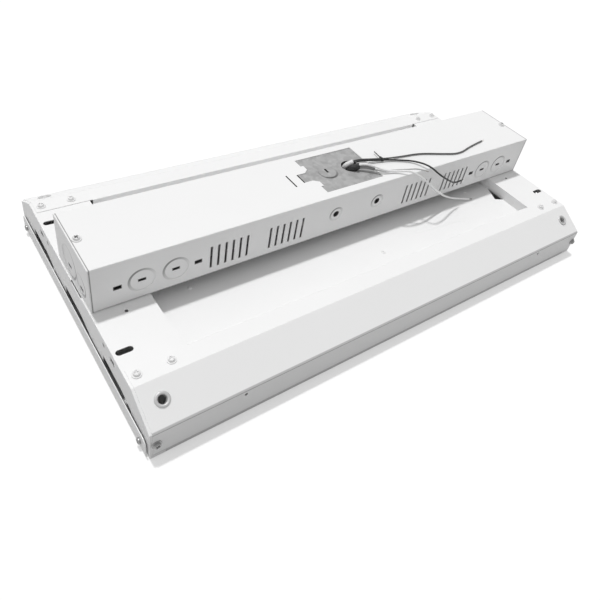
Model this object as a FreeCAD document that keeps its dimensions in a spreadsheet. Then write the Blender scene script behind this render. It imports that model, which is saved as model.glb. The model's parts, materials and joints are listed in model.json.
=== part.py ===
import FreeCAD, Part
import math
import os
import re

import Sketcher

# Linear LED high bay light, standing face down on the rim of its lens frame.
# +X runs along the long axis, +Y away from the viewer's side, +Z up.
# The origin is at the middle of the rim's lower edge. All sizes are in millimetres.

doc = FreeCAD.newDocument("high_bay_light")

# Driving dimensions, written once each and read by every sub-part below.
SIZES = {
    # overall body
    "body_half_length": 305,        # middle to the outer face of an end plate
    "body_height": 56.4,            # top of the wings' flat strips
    "wing_half_width": 168.65,      # middle to the outer face of a skirt
    "slope_run": 35.55,             # crease to skirt, seen from above
    "skirt_height": 35.1,           # crease between slope and skirt
    "skirt_bottom": 5.5,            # lower edge of a skirt
    "sheet": 0.8,                   # steel sheet of body and housing
    "bend": 1.0,                    # outside radius of a fold
    "clearance": 0.15,              # play round screws and lying parts
    # recess between the wings
    "bracket_depth": 57.1,          # end plate to the recess
    "strip_width": 20.2,            # crease to the recess
    "recess_depth": 14,
    "tray_overlap": 5,
    "tray_flange": 9,
    "wing_inset": 2.5,              # wing's end, measured in from the end plate
    "corner_relief": 3,
    # end brackets
    "lip_width": 14,
    "mount_slot_inset": 10.7,       # from the end plate
    "mount_slot_reach": 18.6,       # from the wing's flange
    "mount_slot_length": 15.6,
    "mount_slot_radius": 3.1,
    "pilot_inset": 29.6,
    "pilot_reach": 10,              # from the housing's wall
    "pilot_radius": 1.7,
    "end_window_reach": 19.9,       # from the wing's flange
    "end_window_z": 45,
    "end_window_width": 9,
    "end_window_height": 5.5,
    "end_hole_pitch": 19,           # window to round hole
    "end_hole_rise": 2,
    "end_hole_radius": 2.4,
    "vent_start": 28.5,             # tall end of the middle vent notch
    "vent_pitch": 97,
    "vent_length": 62,
    "vent_taper": 18,               # sloped stretch at the low end
    "vent_tall": 8.2,
    "vent_middle": 6.9,
    "vent_low": 1.2,
    "vent_drop": 8,                 # notch's foot, below the top of the lens frame
    "wire_notch_y": 6,
    "wire_notch_width": 26,
    "wire_notch_depth": 2.6,
    # lens and its frame
    "frame_height": 20,
    "frame_side_gap": 4.65,         # end strip's side to the wing's outer face
    "frame_gap": 1.2,               # end strip's stand-off from the end plate
    "frame_boss": 4.5,              # radius of the boss that bridges it at a screw
    "frame_corner": 7,
    "frame_flange": 12,
    "rail_height": 14,
    "rail_flange": 12,
    "lens_thickness": 2.5,
    # driver housing
    "housing_inset": 1.7,           # housing's end, measured in from the end plate
    "housing_half_width": 42.6,
    "housing_top": 107.8,
    "cover_lift": 0.7,              # cover's lower edge over the brackets
    "end_sheet": 1.0,
    "end_gap": 0.5,                 # open joint between cover and end plate
    "end_flange": 14,
    "base_inset": 15,
    "base_flange": 8,
    "knockout_radius": 12.5,
    "knockout_z": 77.5,
    "knockout_inset": 64.45,        # housing's end to the middle of a pair
    "knockout_spacing": 33.3,
    "knockout_step": 0.45,          # how far a disc is pressed out of its sheet
    "pry_length": 7,
    "pry_width": 2.6,
    "hook_slot_inset": 24.7,
    "hook_slot_pitch": 79.3,
    "hook_slot_width": 7.2,
    "hook_slot_height": 4,
    "louvre_inset": 117.8,          # housing's end to the first slot
    "louvre_group_pitch": 68.1,
    "louvre_pitch": 8.15,
    "louvre_count": 6,
    "louvre_middle": 77.6,
    "louvre_height": 27.2,
    "louvre_width": 2.3,
    "side_hole_x": 30.5,
    "side_hole_z": 81.5,
    "side_hole_radius": 3.9,
    "side_dimple_radius": 8.2,
    "end_knockout_y": 9,
    "end_knockout_z": 76,
    "end_knockout_radius": 17,
    "pry_drop": 5.6,                # prying slot below the middle of an end knockout
    "small_knockout_y": 20.5,
    "small_knockout_z": 72.5,
    "small_knockout_radius": 11.1,
    # access opening and plate
    "access_half_length": 40.8,
    "access_half_width": 32.6,
    "access_tongue_end": 55.2,
    "access_tongue_half": 7.8,
    "access_notch_depth": 3.7,
    "access_notch_start": 12.4,
    "access_notch_end": 20.4,
    "access_throat": 2.4,           # sloped stretch between notch and tongue
    "access_slit_x": 67,
    "access_slit_width": 1.9,
    "access_slit_length": 22,
    "plate_overlap": 3.4,
    "plate_tongue_gap": 2.3,
    "plate_hole_x": 16.7,
    "plate_hole_radius": 11.1,
    "plate_pry_y": 2.6,
    # fasteners
    "screw_inset": 9.5,             # from the end plate
    "screw_spacing": 30.8,
    "screw_reach": 10.7,            # from the crease
    "screw_shank": 2.0,
    "screw_length": 8,
    "washer_radius": 4.5,
    "washer_thickness": 0.9,
    "head_radius": 3.1,
    "head_height": 2.2,
    "head_edge": 0.6,
    "skirt_screw_inset": 5.7,
    "skirt_screw_drop": 14.8,       # from the top of the skirt
    "skirt_hole_inset": 89.3,
    "skirt_hole_drop": 5.1,
    "frame_screw_inset": 12,
    "frame_screw_z": 8.5,
    "cover_screw_inset": 6.6,
    "housing_bolt_inset": 43,
    "housing_bolt_y": 24,
    "nut_width": 7,
    "nut_height": 3.2,
    # V-hook eyelets on the slopes
    "eyelet_inset": 20,
    "eyelet_drop": 18,              # from the crease, down the slope
    "eyelet_flange": 7,
    "eyelet_bore": 4,
    "eyelet_barrel": 5.2,
    "eyelet_height": 1.3,
    "eyelet_edge": 0.6,
    "eyelet_depth": 6,
    # light engine
    "board_inset": 12.9,            # recess's end to the board's end
    "board_width": 30,
    "board_thickness": 1.6,
    "board_reach": 26.6,            # wing's flange to the outer row
    "board_pitch": 46.1,
    "package_count": 21,
    "package_size": 3.4,
    "package_height": 0.8,
    "rivet_package": 9,             # inner rivets sit just past this one, counted from the middle
    "rivet_offset": 4.6,
    "rivet_radius": 2.6,
    "rivet_height": 1.1,
    "rivet_edge": 0.8,
    "rivet_foot": 2.1,
    "rivet_shank": 1.4,
    "wedge_x": 11,
    "wedge_start": 47,
    "wedge_end": 76,
    "wedge_tip": 70.5,
    # drivers
    "driver_inset": 151.3,          # housing's end to the driver's middle
    "driver_length": 186,
    "driver_width": 42,
    "driver_height": 30,
    "driver_foot": 9,
    "driver_foot_thickness": 2,
    "driver_screw_inset": 4.5,
    # sleeves and leads
    "pale_sleeve": 6,
    "dark_sleeve": 8,
    "thin_sleeve": 3.6,
    "lead_diameter": 2.1,
    "dark_grey_lead_diameter": 1.9,
    "white_lead_diameter": 2.6,
    "grey_lead_diameter": 1.8,
    "tie_band": 0.7,
    "tie_width": 2.0,
    "tie_head": 3.6,
    "tie_tail": 14,
    "tie_rise": 24,                 # degrees, tail over the level
    "tie_twist": 55,                # degrees, tail turned on edge
}

# Places that follow from them, worked out wherever an expression names one.
PLACES = {
    "crease_half_width": "wing_half_width - slope_run",
    "recess_half_width": "crease_half_width - strip_width",
    "recess_half_length": "body_half_length - bracket_depth",
    "mount_slot_x": "body_half_length - mount_slot_inset",
    "mount_slot_y": "recess_half_width - mount_slot_reach",
    "pilot_x": "body_half_length - pilot_inset",
    "pilot_y": "housing_half_width + pilot_reach",
    "end_window_y": "recess_half_width - end_window_reach",
    "end_hole_y": "end_window_y - end_hole_pitch",
    "frame_half_width": "wing_half_width - frame_side_gap",
    "frame_outside": "body_half_length + frame_gap + sheet",
    "housing_half_length": "body_half_length - housing_inset",
    "knockout_x": "housing_half_length - knockout_inset",
    "hook_slot_outer": "housing_half_length - hook_slot_inset",
    "hook_slot_inner": "hook_slot_outer - hook_slot_pitch",
    "louvre_first": "housing_half_length - louvre_inset",
    "louvre_inner": "louvre_first - louvre_group_pitch",
    "screw_x": "body_half_length - screw_inset",
    "screw_y": "crease_half_width - screw_reach",
    "skirt_screw_x": "body_half_length - skirt_screw_inset",
    "skirt_screw_z": "skirt_height - skirt_screw_drop",
    "skirt_hole_x": "body_half_length - skirt_hole_inset",
    "skirt_hole_z": "skirt_height - skirt_hole_drop",
    "rail_half_length": "body_half_length - lip_width - clearance",
    "cover_half_length": "housing_half_length - end_sheet - end_gap",
    "frame_screw_y": "frame_half_width - frame_screw_inset",
    "cover_screw_x": "housing_half_length - cover_screw_inset",
    "housing_bolt_x": "body_half_length - housing_bolt_inset",
    "eyelet_x": "body_half_length - eyelet_inset",
    "board_length": "2 * (recess_half_length - board_inset)",
    "board_outer_y": "recess_half_width - board_reach",
    "board_inner_y": "board_outer_y - board_pitch",
    "led_pitch": "board_length / package_count",
    "rivet_inner_x": "rivet_package * led_pitch + rivet_offset",
    "rivet_outer_x": "led_pitch - rivet_offset - rivet_radius",
    "driver_x": "housing_half_length - driver_inset",
}

sheet = doc.addObject("Spreadsheet::Sheet", "sizes")
for row, (alias, number) in enumerate(SIZES.items(), start=1):
    sheet.set(f"A{row}", alias.replace("_", " "))
    sheet.set(f"B{row}", str(number))
    sheet.setAlias(f"B{row}", alias)
doc.recompute()


def cell(text):
    """Expression for FreeCAD: sizes become cells of the sheet, places the sums they stand for."""

    def spelled_out(match):
        name = match[0]
        if name in PLACES:
            return f"({cell(PLACES[name])})"
        return f"sizes.{name}" if name in SIZES else name

    return re.sub(r"[a-z][a-z_]*", spelled_out, text)


def value(text):
    """Number that an expression in size names has now."""
    return float(sheet.evalExpression(cell(text)))


# Heights and offsets that several pieces share, as expressions in the driving dimensions.
SLOPE = "atan((body_height - skirt_height) / slope_run)"
BRACKET_TOP = "(body_height - sheet)"
TRAY_TOP = "(body_height - recess_depth)"
COVER_UNDERSIDE = "(housing_top - sheet)"
COVER_INSIDE = "(housing_half_width - sheet)"
COVER_FOOT = "(body_height - sheet + cover_lift)"
BASE_TOP = "(body_height)"
PLATE_TOP = COVER_UNDERSIDE


def wing_path(depth):
    """Corners of the folded section on +Y, a number of sheets under the outer face."""
    inset = f"(({depth}) * sheet)"
    skirt = f"wing_half_width - {inset}"
    return [
        (skirt, f"skirt_height - {inset} * tan((90 deg - {SLOPE}) / 2)"),
        (f"crease_half_width - {inset} * tan({SLOPE} / 2)", f"body_height - {inset}"),
    ]


def mirrored(points):
    """The same points on the -Y side, in the order that closes the outline."""
    return [(f"-({across})", up) for across, up in reversed(points)]


def box_points(left, right, low, high):
    return [(left, low), (right, low), (right, high), (left, high)]


# Sketch shapes: every corner and centre is held by two dimensions bound to the sheet.

def hold(sketch, geometry, point, across, up):
    for kind, text in (("DistanceX", across), ("DistanceY", up)):
        rule = Sketcher.Constraint(kind, -1, 1, geometry, point, value(text))
        sketch.setExpression(f"Constraints[{sketch.addConstraint(rule)}]", cell(text))


def draw_outline(sketch, points):
    corners = [FreeCAD.Vector(value(across), value(up), 0) for across, up in points]
    first = sketch.GeometryCount
    for index, corner in enumerate(corners):
        sketch.addGeometry(Part.LineSegment(corner, corners[(index + 1) % len(corners)]))
    for index, (across, up) in enumerate(points):
        following = first + (index + 1) % len(points)
        sketch.addConstraint(Sketcher.Constraint("Coincident", first + index, 2, following, 1))
        hold(sketch, first + index, 1, across, up)


def draw_circle(sketch, across, up, radius):
    middle = FreeCAD.Vector(value(across), value(up), 0)
    index = sketch.addGeometry(Part.Circle(middle, FreeCAD.Vector(0, 0, 1), value(radius)))
    hold(sketch, index, 3, across, up)
    rule = Sketcher.Constraint("Radius", index, value(radius))
    sketch.setExpression(f"Constraints[{sketch.addConstraint(rule)}]", cell(radius))


def draw_slot(sketch, across, up, half_run, radius):
    """Slot with round ends: half_run is from its middle to the centre of an end."""
    ends = [(f"({across}) {sign} ({half_run})", up) for sign in "+-"]
    reach = value(radius)
    for index, (end_across, end_up) in enumerate(ends):
        middle = FreeCAD.Vector(value(end_across), value(end_up), 0)
        start = (index - 0.5) * math.pi
        circle = Part.Circle(middle, FreeCAD.Vector(0, 0, 1), reach)
        sketch.addGeometry(Part.ArcOfCircle(circle, start, start + math.pi))
    first = sketch.GeometryCount - 2
    for start, end in ((first, first + 1), (first + 1, first)):
        line = Part.LineSegment(sketch.getPoint(start, 2), sketch.getPoint(end, 1))
        index = sketch.addGeometry(line)
        sketch.addConstraint(Sketcher.Constraint("Tangent", start, 2, index, 1))
        sketch.addConstraint(Sketcher.Constraint("Tangent", index, 2, end, 1))
    for index, (end_across, end_up) in enumerate(ends):
        hold(sketch, first + index, 3, end_across, end_up)
    rule = Sketcher.Constraint("Radius", first, reach)
    sketch.setExpression(f"Constraints[{sketch.addConstraint(rule)}]", cell(radius))


DRAW = {"outline": draw_outline, "circle": draw_circle, "slot": draw_slot}
AXIS_SIGN = {"XY_Plane": 1, "XZ_Plane": -1, "YZ_Plane": 1}


def new_body(label):
    body = doc.addObject("PartDesign::Body", label)
    body.Label = label
    return body


def layer(body, kind, plane, middle, thickness, *shapes):
    """Pad or Pocket, spread evenly to both sides of a sketch at height `middle`."""
    sketch = body.newObject("Sketcher::SketchObject", "profile")
    origin = next(item for item in body.Origin.OriginFeatures if item.Role == plane)
    sketch.AttachmentSupport = [(origin, "")]
    sketch.MapMode = "FlatFace"
    sketch.setExpression("AttachmentOffset.Base.z", cell(f"({AXIS_SIGN[plane]}) * ({middle})"))
    for shape, *numbers in shapes:
        DRAW[shape](sketch, *numbers)
    feature = body.newObject(f"PartDesign::{kind}", kind.lower())
    feature.Profile = sketch
    feature.Midplane = True
    feature.setExpression("Length", cell(thickness))
    doc.recompute()
    return feature


def round_edges(body, radius, chosen):
    """Fillet on the body's edges for which chosen(edge) is true."""
    base = body.Tip
    names = [f"Edge{index}" for index, edge in enumerate(base.Shape.Edges, start=1) if chosen(edge)]
    fillet = body.newObject("PartDesign::Fillet", "fold")
    fillet.Base = (base, names)
    fillet.setExpression("Radius", cell(radius))
    doc.recompute()
    return fillet


def along(axis, points):
    """Test for edges that run along X or Y through one of the corners, given as (y or x, z)."""
    places = [(value(across), value(up)) for across, up in points]
    side = "y" if axis == "x" else "x"

    def chosen(edge):
        start, end = edge.Vertexes[0].Point, edge.Vertexes[-1].Point
        if abs(getattr(start, side) - getattr(end, side)) + abs(start.z - end.z) > 1e-6:
            return False
        return any(abs(getattr(start, side) - across) + abs(start.z - up) < 1e-4
                   for across, up in places)

    return chosen


# Folded wings: flat strip over the brackets, slope, skirt, and a flange down to the tray.

def build_wing(label, sign):
    outer, inner = wing_path("0"), wing_path("1")
    flange = [("recess_half_width", "body_height"), ("recess_half_width", TRAY_TOP)]
    flange_inner = [("recess_half_width + sheet", TRAY_TOP),
                    ("recess_half_width + sheet", "body_height - sheet")]
    points = [("wing_half_width", "skirt_bottom"), *outer, *flange, *flange_inner,
              *reversed(inner), ("wing_half_width - sheet", "skirt_bottom")]
    side = [(f"({sign}) * ({across})", up) for across, up in points]
    body = new_body(label)
    layer(body, "Pad", "YZ_Plane", "0", "2 * (body_half_length - wing_inset)", ("outline", side))
    round_edges(body, "bend", along("x", [side[1], side[2], side[3]]))
    round_edges(body, "bend - sheet", along("x", [side[6], side[7], side[8]]))

    # The inner flange stops short of the brackets, with a relief at each corner.
    strip_edge = f"({sign}) * (recess_half_width + bend)"
    ends_at = "(recess_half_length - corner_relief)"
    for end in ("1", "-1"):
        layer(body, "Pocket", "YZ_Plane", f"({end}) * (body_half_length + {ends_at}) / 2",
              f"body_half_length - {ends_at}",
              ("outline", box_points(f"({sign}) * (recess_half_width - 1)", strip_edge,
                                     f"{TRAY_TOP} - 1", "body_height + 1")))
    holes = [("circle", f"({end}) * ({across})", f"({sign}) * screw_y", "screw_shank + clearance")
             for end in (1, -1) for across in ("screw_x", "screw_x - screw_spacing")]
    layer(body, "Pocket", "XY_Plane", "body_height", "4 * sheet", *holes)
    skirt_holes = []
    for end in (1, -1):
        skirt_holes.append(("circle", f"({end}) * skirt_screw_x", "skirt_screw_z",
                            "screw_shank + clearance"))
        skirt_holes.append(("circle", f"({end}) * skirt_hole_x", "skirt_hole_z", "pilot_radius"))
    layer(body, "Pocket", "XZ_Plane", f"({sign}) * wing_half_width", "6 * sheet", *skirt_holes)

    # The hook eyelets sit in holes square to the slope.
    drills = []
    for end in (1, -1):
        drill = Part.makeCylinder(value("eyelet_barrel + clearance"), 12)
        drill.translate(FreeCAD.Vector(0, 0, -6))
        drill.Placement = eyelet_place(end, sign).multiply(drill.Placement)
        drills.append(drill)
    return cut_with(label, body, drills)


def eyelet_place(end, sign):
    """Place on the slope's outer face, with local +Z square to it."""
    angle = math.radians(value(SLOPE))
    run = value("eyelet_drop")
    across = value("crease_half_width") + run * math.cos(angle)
    up = value("body_height") - run * math.sin(angle)
    turn = FreeCAD.Rotation(FreeCAD.Vector(1, 0, 0), -sign * math.degrees(angle))
    return FreeCAD.Placement(FreeCAD.Vector(end * value("eyelet_x"), sign * across, up), turn)


SUBPARTS = {}


def keep(label, shape_object):
    """List an object of the document as a sub-part under its node name."""
    shape_object.Label = label
    SUBPARTS[label] = shape_object
    return shape_object


def cut_with(label, body, drills):
    """Cut slanted drills out of a body, where no sketch plane of its own lies square."""
    body.Label = label + "_folded"
    tool = doc.addObject("Part::Feature", label + "_drills")
    tool.Shape = Part.makeCompound(drills)
    cut = doc.addObject("Part::Cut", label)
    cut.Base = body
    cut.Tool = tool
    doc.recompute()
    return keep(label, cut)


for wing_label, wing_sign in (("wing_front", -1), ("wing_rear", 1)):
    build_wing(wing_label, wing_sign)


# End brackets: one folded sheet each, with top plate, end plate, lips and side tabs.

def build_bracket(label, end):
    face = f"({end}) * body_half_length"
    upper = [("wing_half_width - sheet", "sheet"), *wing_path("1")]
    lower = [("wing_half_width - 2 * sheet", "sheet"), *wing_path("2")]
    plate = [*upper, *mirrored(upper)]
    body = new_body(label)
    layer(body, "Pad", "YZ_Plane", f"{face} - ({end}) * lip_width / 2", "lip_width",
          ("outline", [*plate, *reversed(mirrored(lower)), *reversed(lower)]))
    edge = "(crease_half_width - bend)"
    layer(body, "Pad", "XY_Plane", f"{BRACKET_TOP} - sheet / 2", "sheet",
          ("outline", box_points(f"({end}) * recess_half_length", face, f"-{edge}", edge)))
    layer(body, "Pad", "YZ_Plane", f"{face} - ({end}) * sheet / 2", "sheet", ("outline", plate))
    layer(body, "Pad", "YZ_Plane", f"({end}) * (recess_half_length + sheet / 2)", "sheet",
          ("outline", box_points("-recess_half_width", "recess_half_width", TRAY_TOP, BRACKET_TOP)))
    round_edges(body, "bend", along("x", [*upper[1:], *mirrored(upper[1:])]))
    outer_face, foot = value(face), value("sheet")

    def on_fold(edge):
        middle = edge.valueAt((edge.FirstParameter + edge.LastParameter) / 2)
        on_face = all(abs(vertex.X - outer_face) < 1e-5 for vertex in edge.Vertexes)
        return on_face and middle.z > foot + 1e-5

    round_edges(body, "bend - sheet / 2", on_fold)

    holes = []
    for side in (1, -1):
        holes.append(("slot", f"({end}) * mount_slot_x", f"({side}) * mount_slot_y",
                      "mount_slot_length / 2 - mount_slot_radius", "mount_slot_radius"))
        holes.append(("circle", f"({end}) * pilot_x", f"({side}) * pilot_y", "pilot_radius"))
        holes.append(("circle", f"({end}) * housing_bolt_x", f"({side}) * housing_bolt_y",
                      "screw_shank + clearance"))
        for across in ("screw_x", "screw_x - screw_spacing"):
            holes.append(("circle", f"({end}) * ({across})", f"({side}) * screw_y",
                          "screw_shank + clearance"))
    layer(body, "Pocket", "XY_Plane", BRACKET_TOP, "4 * sheet", *holes)

    windows = []
    for side in (1, -1):
        middle = f"({side}) * end_window_y"
        windows.append(("outline", box_points(
            f"{middle} - end_window_width / 2", f"{middle} + end_window_width / 2",
            "end_window_z - end_window_height / 2", "end_window_z + end_window_height / 2")))
        windows.append(("circle", f"({side}) * end_hole_y", "end_window_z + end_hole_rise", "end_hole_radius"))
        windows.append(("circle", f"({side}) * frame_screw_y", "frame_screw_z",
                        "screw_shank + clearance"))
    # Three long vent notches, each tall at one end; the lens frame hides their feet.
    for step in (-1, 0, 1):
        tall = f"(vent_start + ({step}) * vent_pitch)"
        low = f"({tall} - vent_length)"
        vent = [(tall, "frame_height - vent_drop"), (low, "frame_height - vent_drop"),
                (low, "frame_height + vent_low"),
                (f"({low} + vent_taper)", "frame_height + vent_middle"),
                (tall, "frame_height + vent_tall")]
        windows.append(("outline", [(f"(-({end})) * {across}", up) for across, up in vent]))
    layer(body, "Pocket", "YZ_Plane", face, "4 * sheet", *windows)
    # A shallow notch under the housing's end lets wires through.
    notch = box_points(f"(-({end})) * wire_notch_y", f"(-({end})) * (wire_notch_y - wire_notch_width)",
                       f"{BRACKET_TOP} - wire_notch_depth", f"{BRACKET_TOP} + 1")
    layer(body, "Pocket", "YZ_Plane", face, "3 * sheet", ("outline", notch))
    for side in (1, -1):
        layer(body, "Pocket", "XZ_Plane", f"({side}) * (wing_half_width - 1.5 * sheet)", "3 * sheet",
              ("circle", f"({end}) * skirt_screw_x", "skirt_screw_z", "screw_shank + clearance"))
    return keep(label, body)


for bracket_label, bracket_end in (("bracket_left", -1), ("bracket_right", 1)):
    build_bracket(bracket_label, bracket_end)


# Lens frame: a rounded strip over each end plate and an angle along each skirt.

def build_frame_end(label, end):
    body = new_body(label)
    inside = "(body_half_length + frame_gap)"
    layer(body, "Pad", "YZ_Plane", f"({end}) * ({inside} + sheet / 2)", "sheet",
          ("outline", box_points("-frame_half_width", "frame_half_width", "0", "frame_height")))

    def top_corner(edge):
        points = [vertex.Point for vertex in edge.Vertexes]
        return (all(abs(point.z - value("frame_height")) < 1e-5 for point in points)
                and abs(points[0].y - points[-1].y) < 1e-5)

    round_edges(body, "frame_corner", top_corner)
    layer(body, "Pad", "XY_Plane", "sheet / 2", "sheet",
          ("outline", box_points(f"({end}) * frame_outside", f"({end}) * (frame_outside - frame_flange)",
                                 "-frame_half_width", "frame_half_width")))
    round_edges(body, "bend", along("y", [(f"({end}) * frame_outside", "0")]))
    # A pressed boss at each screw bridges the gap to the end plate.
    places = [(f"({side}) * frame_screw_y", "frame_screw_z") for side in (1, -1)]
    layer(body, "Pad", "YZ_Plane", f"({end}) * (body_half_length + frame_gap / 2)", "frame_gap",
          *[("circle", across, up, "frame_boss") for across, up in places])
    layer(body, "Pocket", "YZ_Plane", f"({end}) * frame_outside", "2 * frame_gap + 4 * sheet",
          *[("circle", across, up, "screw_shank + clearance") for across, up in places])
    return keep(label, body)


def build_rail(label, sign):
    face = f"({sign}) * (wing_half_width - sheet)"
    inside = f"({sign}) * (wing_half_width - 2 * sheet)"
    toe = f"({sign}) * (wing_half_width - sheet - rail_flange)"
    angle = [(face, "0"), (face, "rail_height"), (inside, "rail_height"), (inside, "sheet"),
             (toe, "sheet"), (toe, "0")]
    body = new_body(label)
    layer(body, "Pad", "YZ_Plane", "0", "2 * rail_half_length", ("outline", angle))
    round_edges(body, "bend", along("x", [angle[0]]))
    return keep(label, body)


for frame_label, frame_end in (("lens_frame_left", -1), ("lens_frame_right", 1)):
    build_frame_end(frame_label, frame_end)
for rail_label, rail_sign in (("lens_rail_front", -1), ("lens_rail_rear", 1)):
    build_rail(rail_label, rail_sign)

# Flat frosted lens, lying on the flanges of its frame.
lens = new_body("diffuser_lens")
LENS_X = "(body_half_length - sheet - 2 * clearance)"
LENS_Y = "(wing_half_width - 2 * sheet - 2 * clearance)"
layer(lens, "Pad", "XY_Plane", "sheet + lens_thickness / 2", "lens_thickness",
      ("outline", box_points(f"-{LENS_X}", LENS_X, f"-{LENS_Y}", LENS_Y)))
keep("diffuser_lens", lens)


# Recessed tray between the wings, with down-turned flanges and a wire gap at each end.

def build_tray():
    body = new_body("centre_tray")
    reach_x = "(recess_half_length + tray_overlap)"
    reach_y = "(recess_half_width + tray_overlap)"
    section = [(f"-{reach_y}", TRAY_TOP), (reach_y, TRAY_TOP),
               (reach_y, f"{TRAY_TOP} - tray_flange"),
               (f"{reach_y} - sheet", f"{TRAY_TOP} - tray_flange"),
               (f"{reach_y} - sheet", f"{TRAY_TOP} - sheet"),
               (f"-({reach_y} - sheet)", f"{TRAY_TOP} - sheet"),
               (f"-({reach_y} - sheet)", f"{TRAY_TOP} - tray_flange"),
               (f"-{reach_y}", f"{TRAY_TOP} - tray_flange")]
    layer(body, "Pad", "YZ_Plane", "0", f"2 * {reach_x}", ("outline", section))
    round_edges(body, "bend", along("x", [section[0], section[1]]))
    cuts = []
    for end in (1, -1):
        edge = f"({end}) * recess_half_length"
        cuts.append(("outline", [
            (edge, f"({end}) * (-wedge_start)"),
            (f"({end}) * (recess_half_length - wedge_x)", f"({end}) * (-wedge_tip)"),
            (edge, f"({end}) * (-wedge_end)")]))
        for side in (1, -1):
            cuts.append(("circle", f"({end}) * rivet_inner_x", f"({side}) * board_inner_y",
                         "rivet_shank + clearance"))
    for side in (1, -1):
        cuts.append(("circle", "rivet_outer_x", f"({side}) * board_outer_y",
                     "rivet_shank + clearance"))
    layer(body, "Pocket", "XY_Plane", TRAY_TOP, "4 * sheet", *cuts)
    return keep("centre_tray", body)


build_tray()


# LED boards under the tray, one body each, with their light sources in one group.

BOARD_ROWS = ["board_inner_y", "board_outer_y", "-board_inner_y", "-board_outer_y"]
BOARD_TOP = f"({TRAY_TOP} - sheet)"


def build_board(label, middle):
    body = new_body(label)
    half = "board_length / 2"
    layer(body, "Pad", "XY_Plane", f"{BOARD_TOP} - board_thickness / 2", "board_thickness",
          ("outline", box_points(f"-{half}", half, f"{middle} - board_width / 2",
                                 f"{middle} + board_width / 2")))
    inner = "board_inner_y" in middle
    places = ["rivet_inner_x", "-rivet_inner_x"] if inner else ["rivet_outer_x"]
    layer(body, "Pocket", "XY_Plane", BOARD_TOP, "4 * board_thickness",
          *[("circle", across, middle, "rivet_shank + clearance") for across in places])
    return keep(label, body)


for board_number, board_middle in enumerate(BOARD_ROWS, start=1):
    build_board(f"led_board_{board_number}", board_middle)


def part_box(label, length, width, height, left, near, low):
    """Part::Box with bound sides and place."""
    box = doc.addObject("Part::Box", label)
    for name, text in (("Length", length), ("Width", width), ("Height", height),
                       ("Placement.Base.x", left), ("Placement.Base.y", near),
                       ("Placement.Base.z", low)):
        box.setExpression(name, cell(text))
    return box


def group(label, shapes):
    """Sub-part of several like solids that stay apart."""
    feature = doc.addObject("Part::Feature", label)
    feature.Shape = Part.makeCompound(shapes)
    return keep(label, feature)


def placed(shape, x, y, z, rotation=None):
    copy = shape.copy()
    copy.Placement = FreeCAD.Placement(FreeCAD.Vector(x, y, z), rotation or FreeCAD.Rotation())
    return copy


def build_packages():
    package = part_box("led_package", "package_size", "package_size", "package_height",
                       "0", "0", "0")
    doc.recompute()
    count = int(value("package_count"))
    pitch = value("led_pitch")
    low = value(f"{BOARD_TOP} - board_thickness - package_height")
    corner = value("package_size / 2")
    packages = [placed(package.Shape, (step - (count - 1) / 2) * pitch - corner,
                       value(middle) - corner, low)
                for middle in BOARD_ROWS for step in range(count)]
    doc.removeObject(package.Name)
    return group("led_packages", packages)


build_packages()


# Driver housing: a folded cover over two end caps and a base channel.

def slot_box(across, up, width, height):
    return ("outline", box_points(f"{across} - ({width}) / 2", f"{across} + ({width}) / 2",
                                  f"{up} - ({height}) / 2", f"{up} + ({height}) / 2"))


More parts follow.
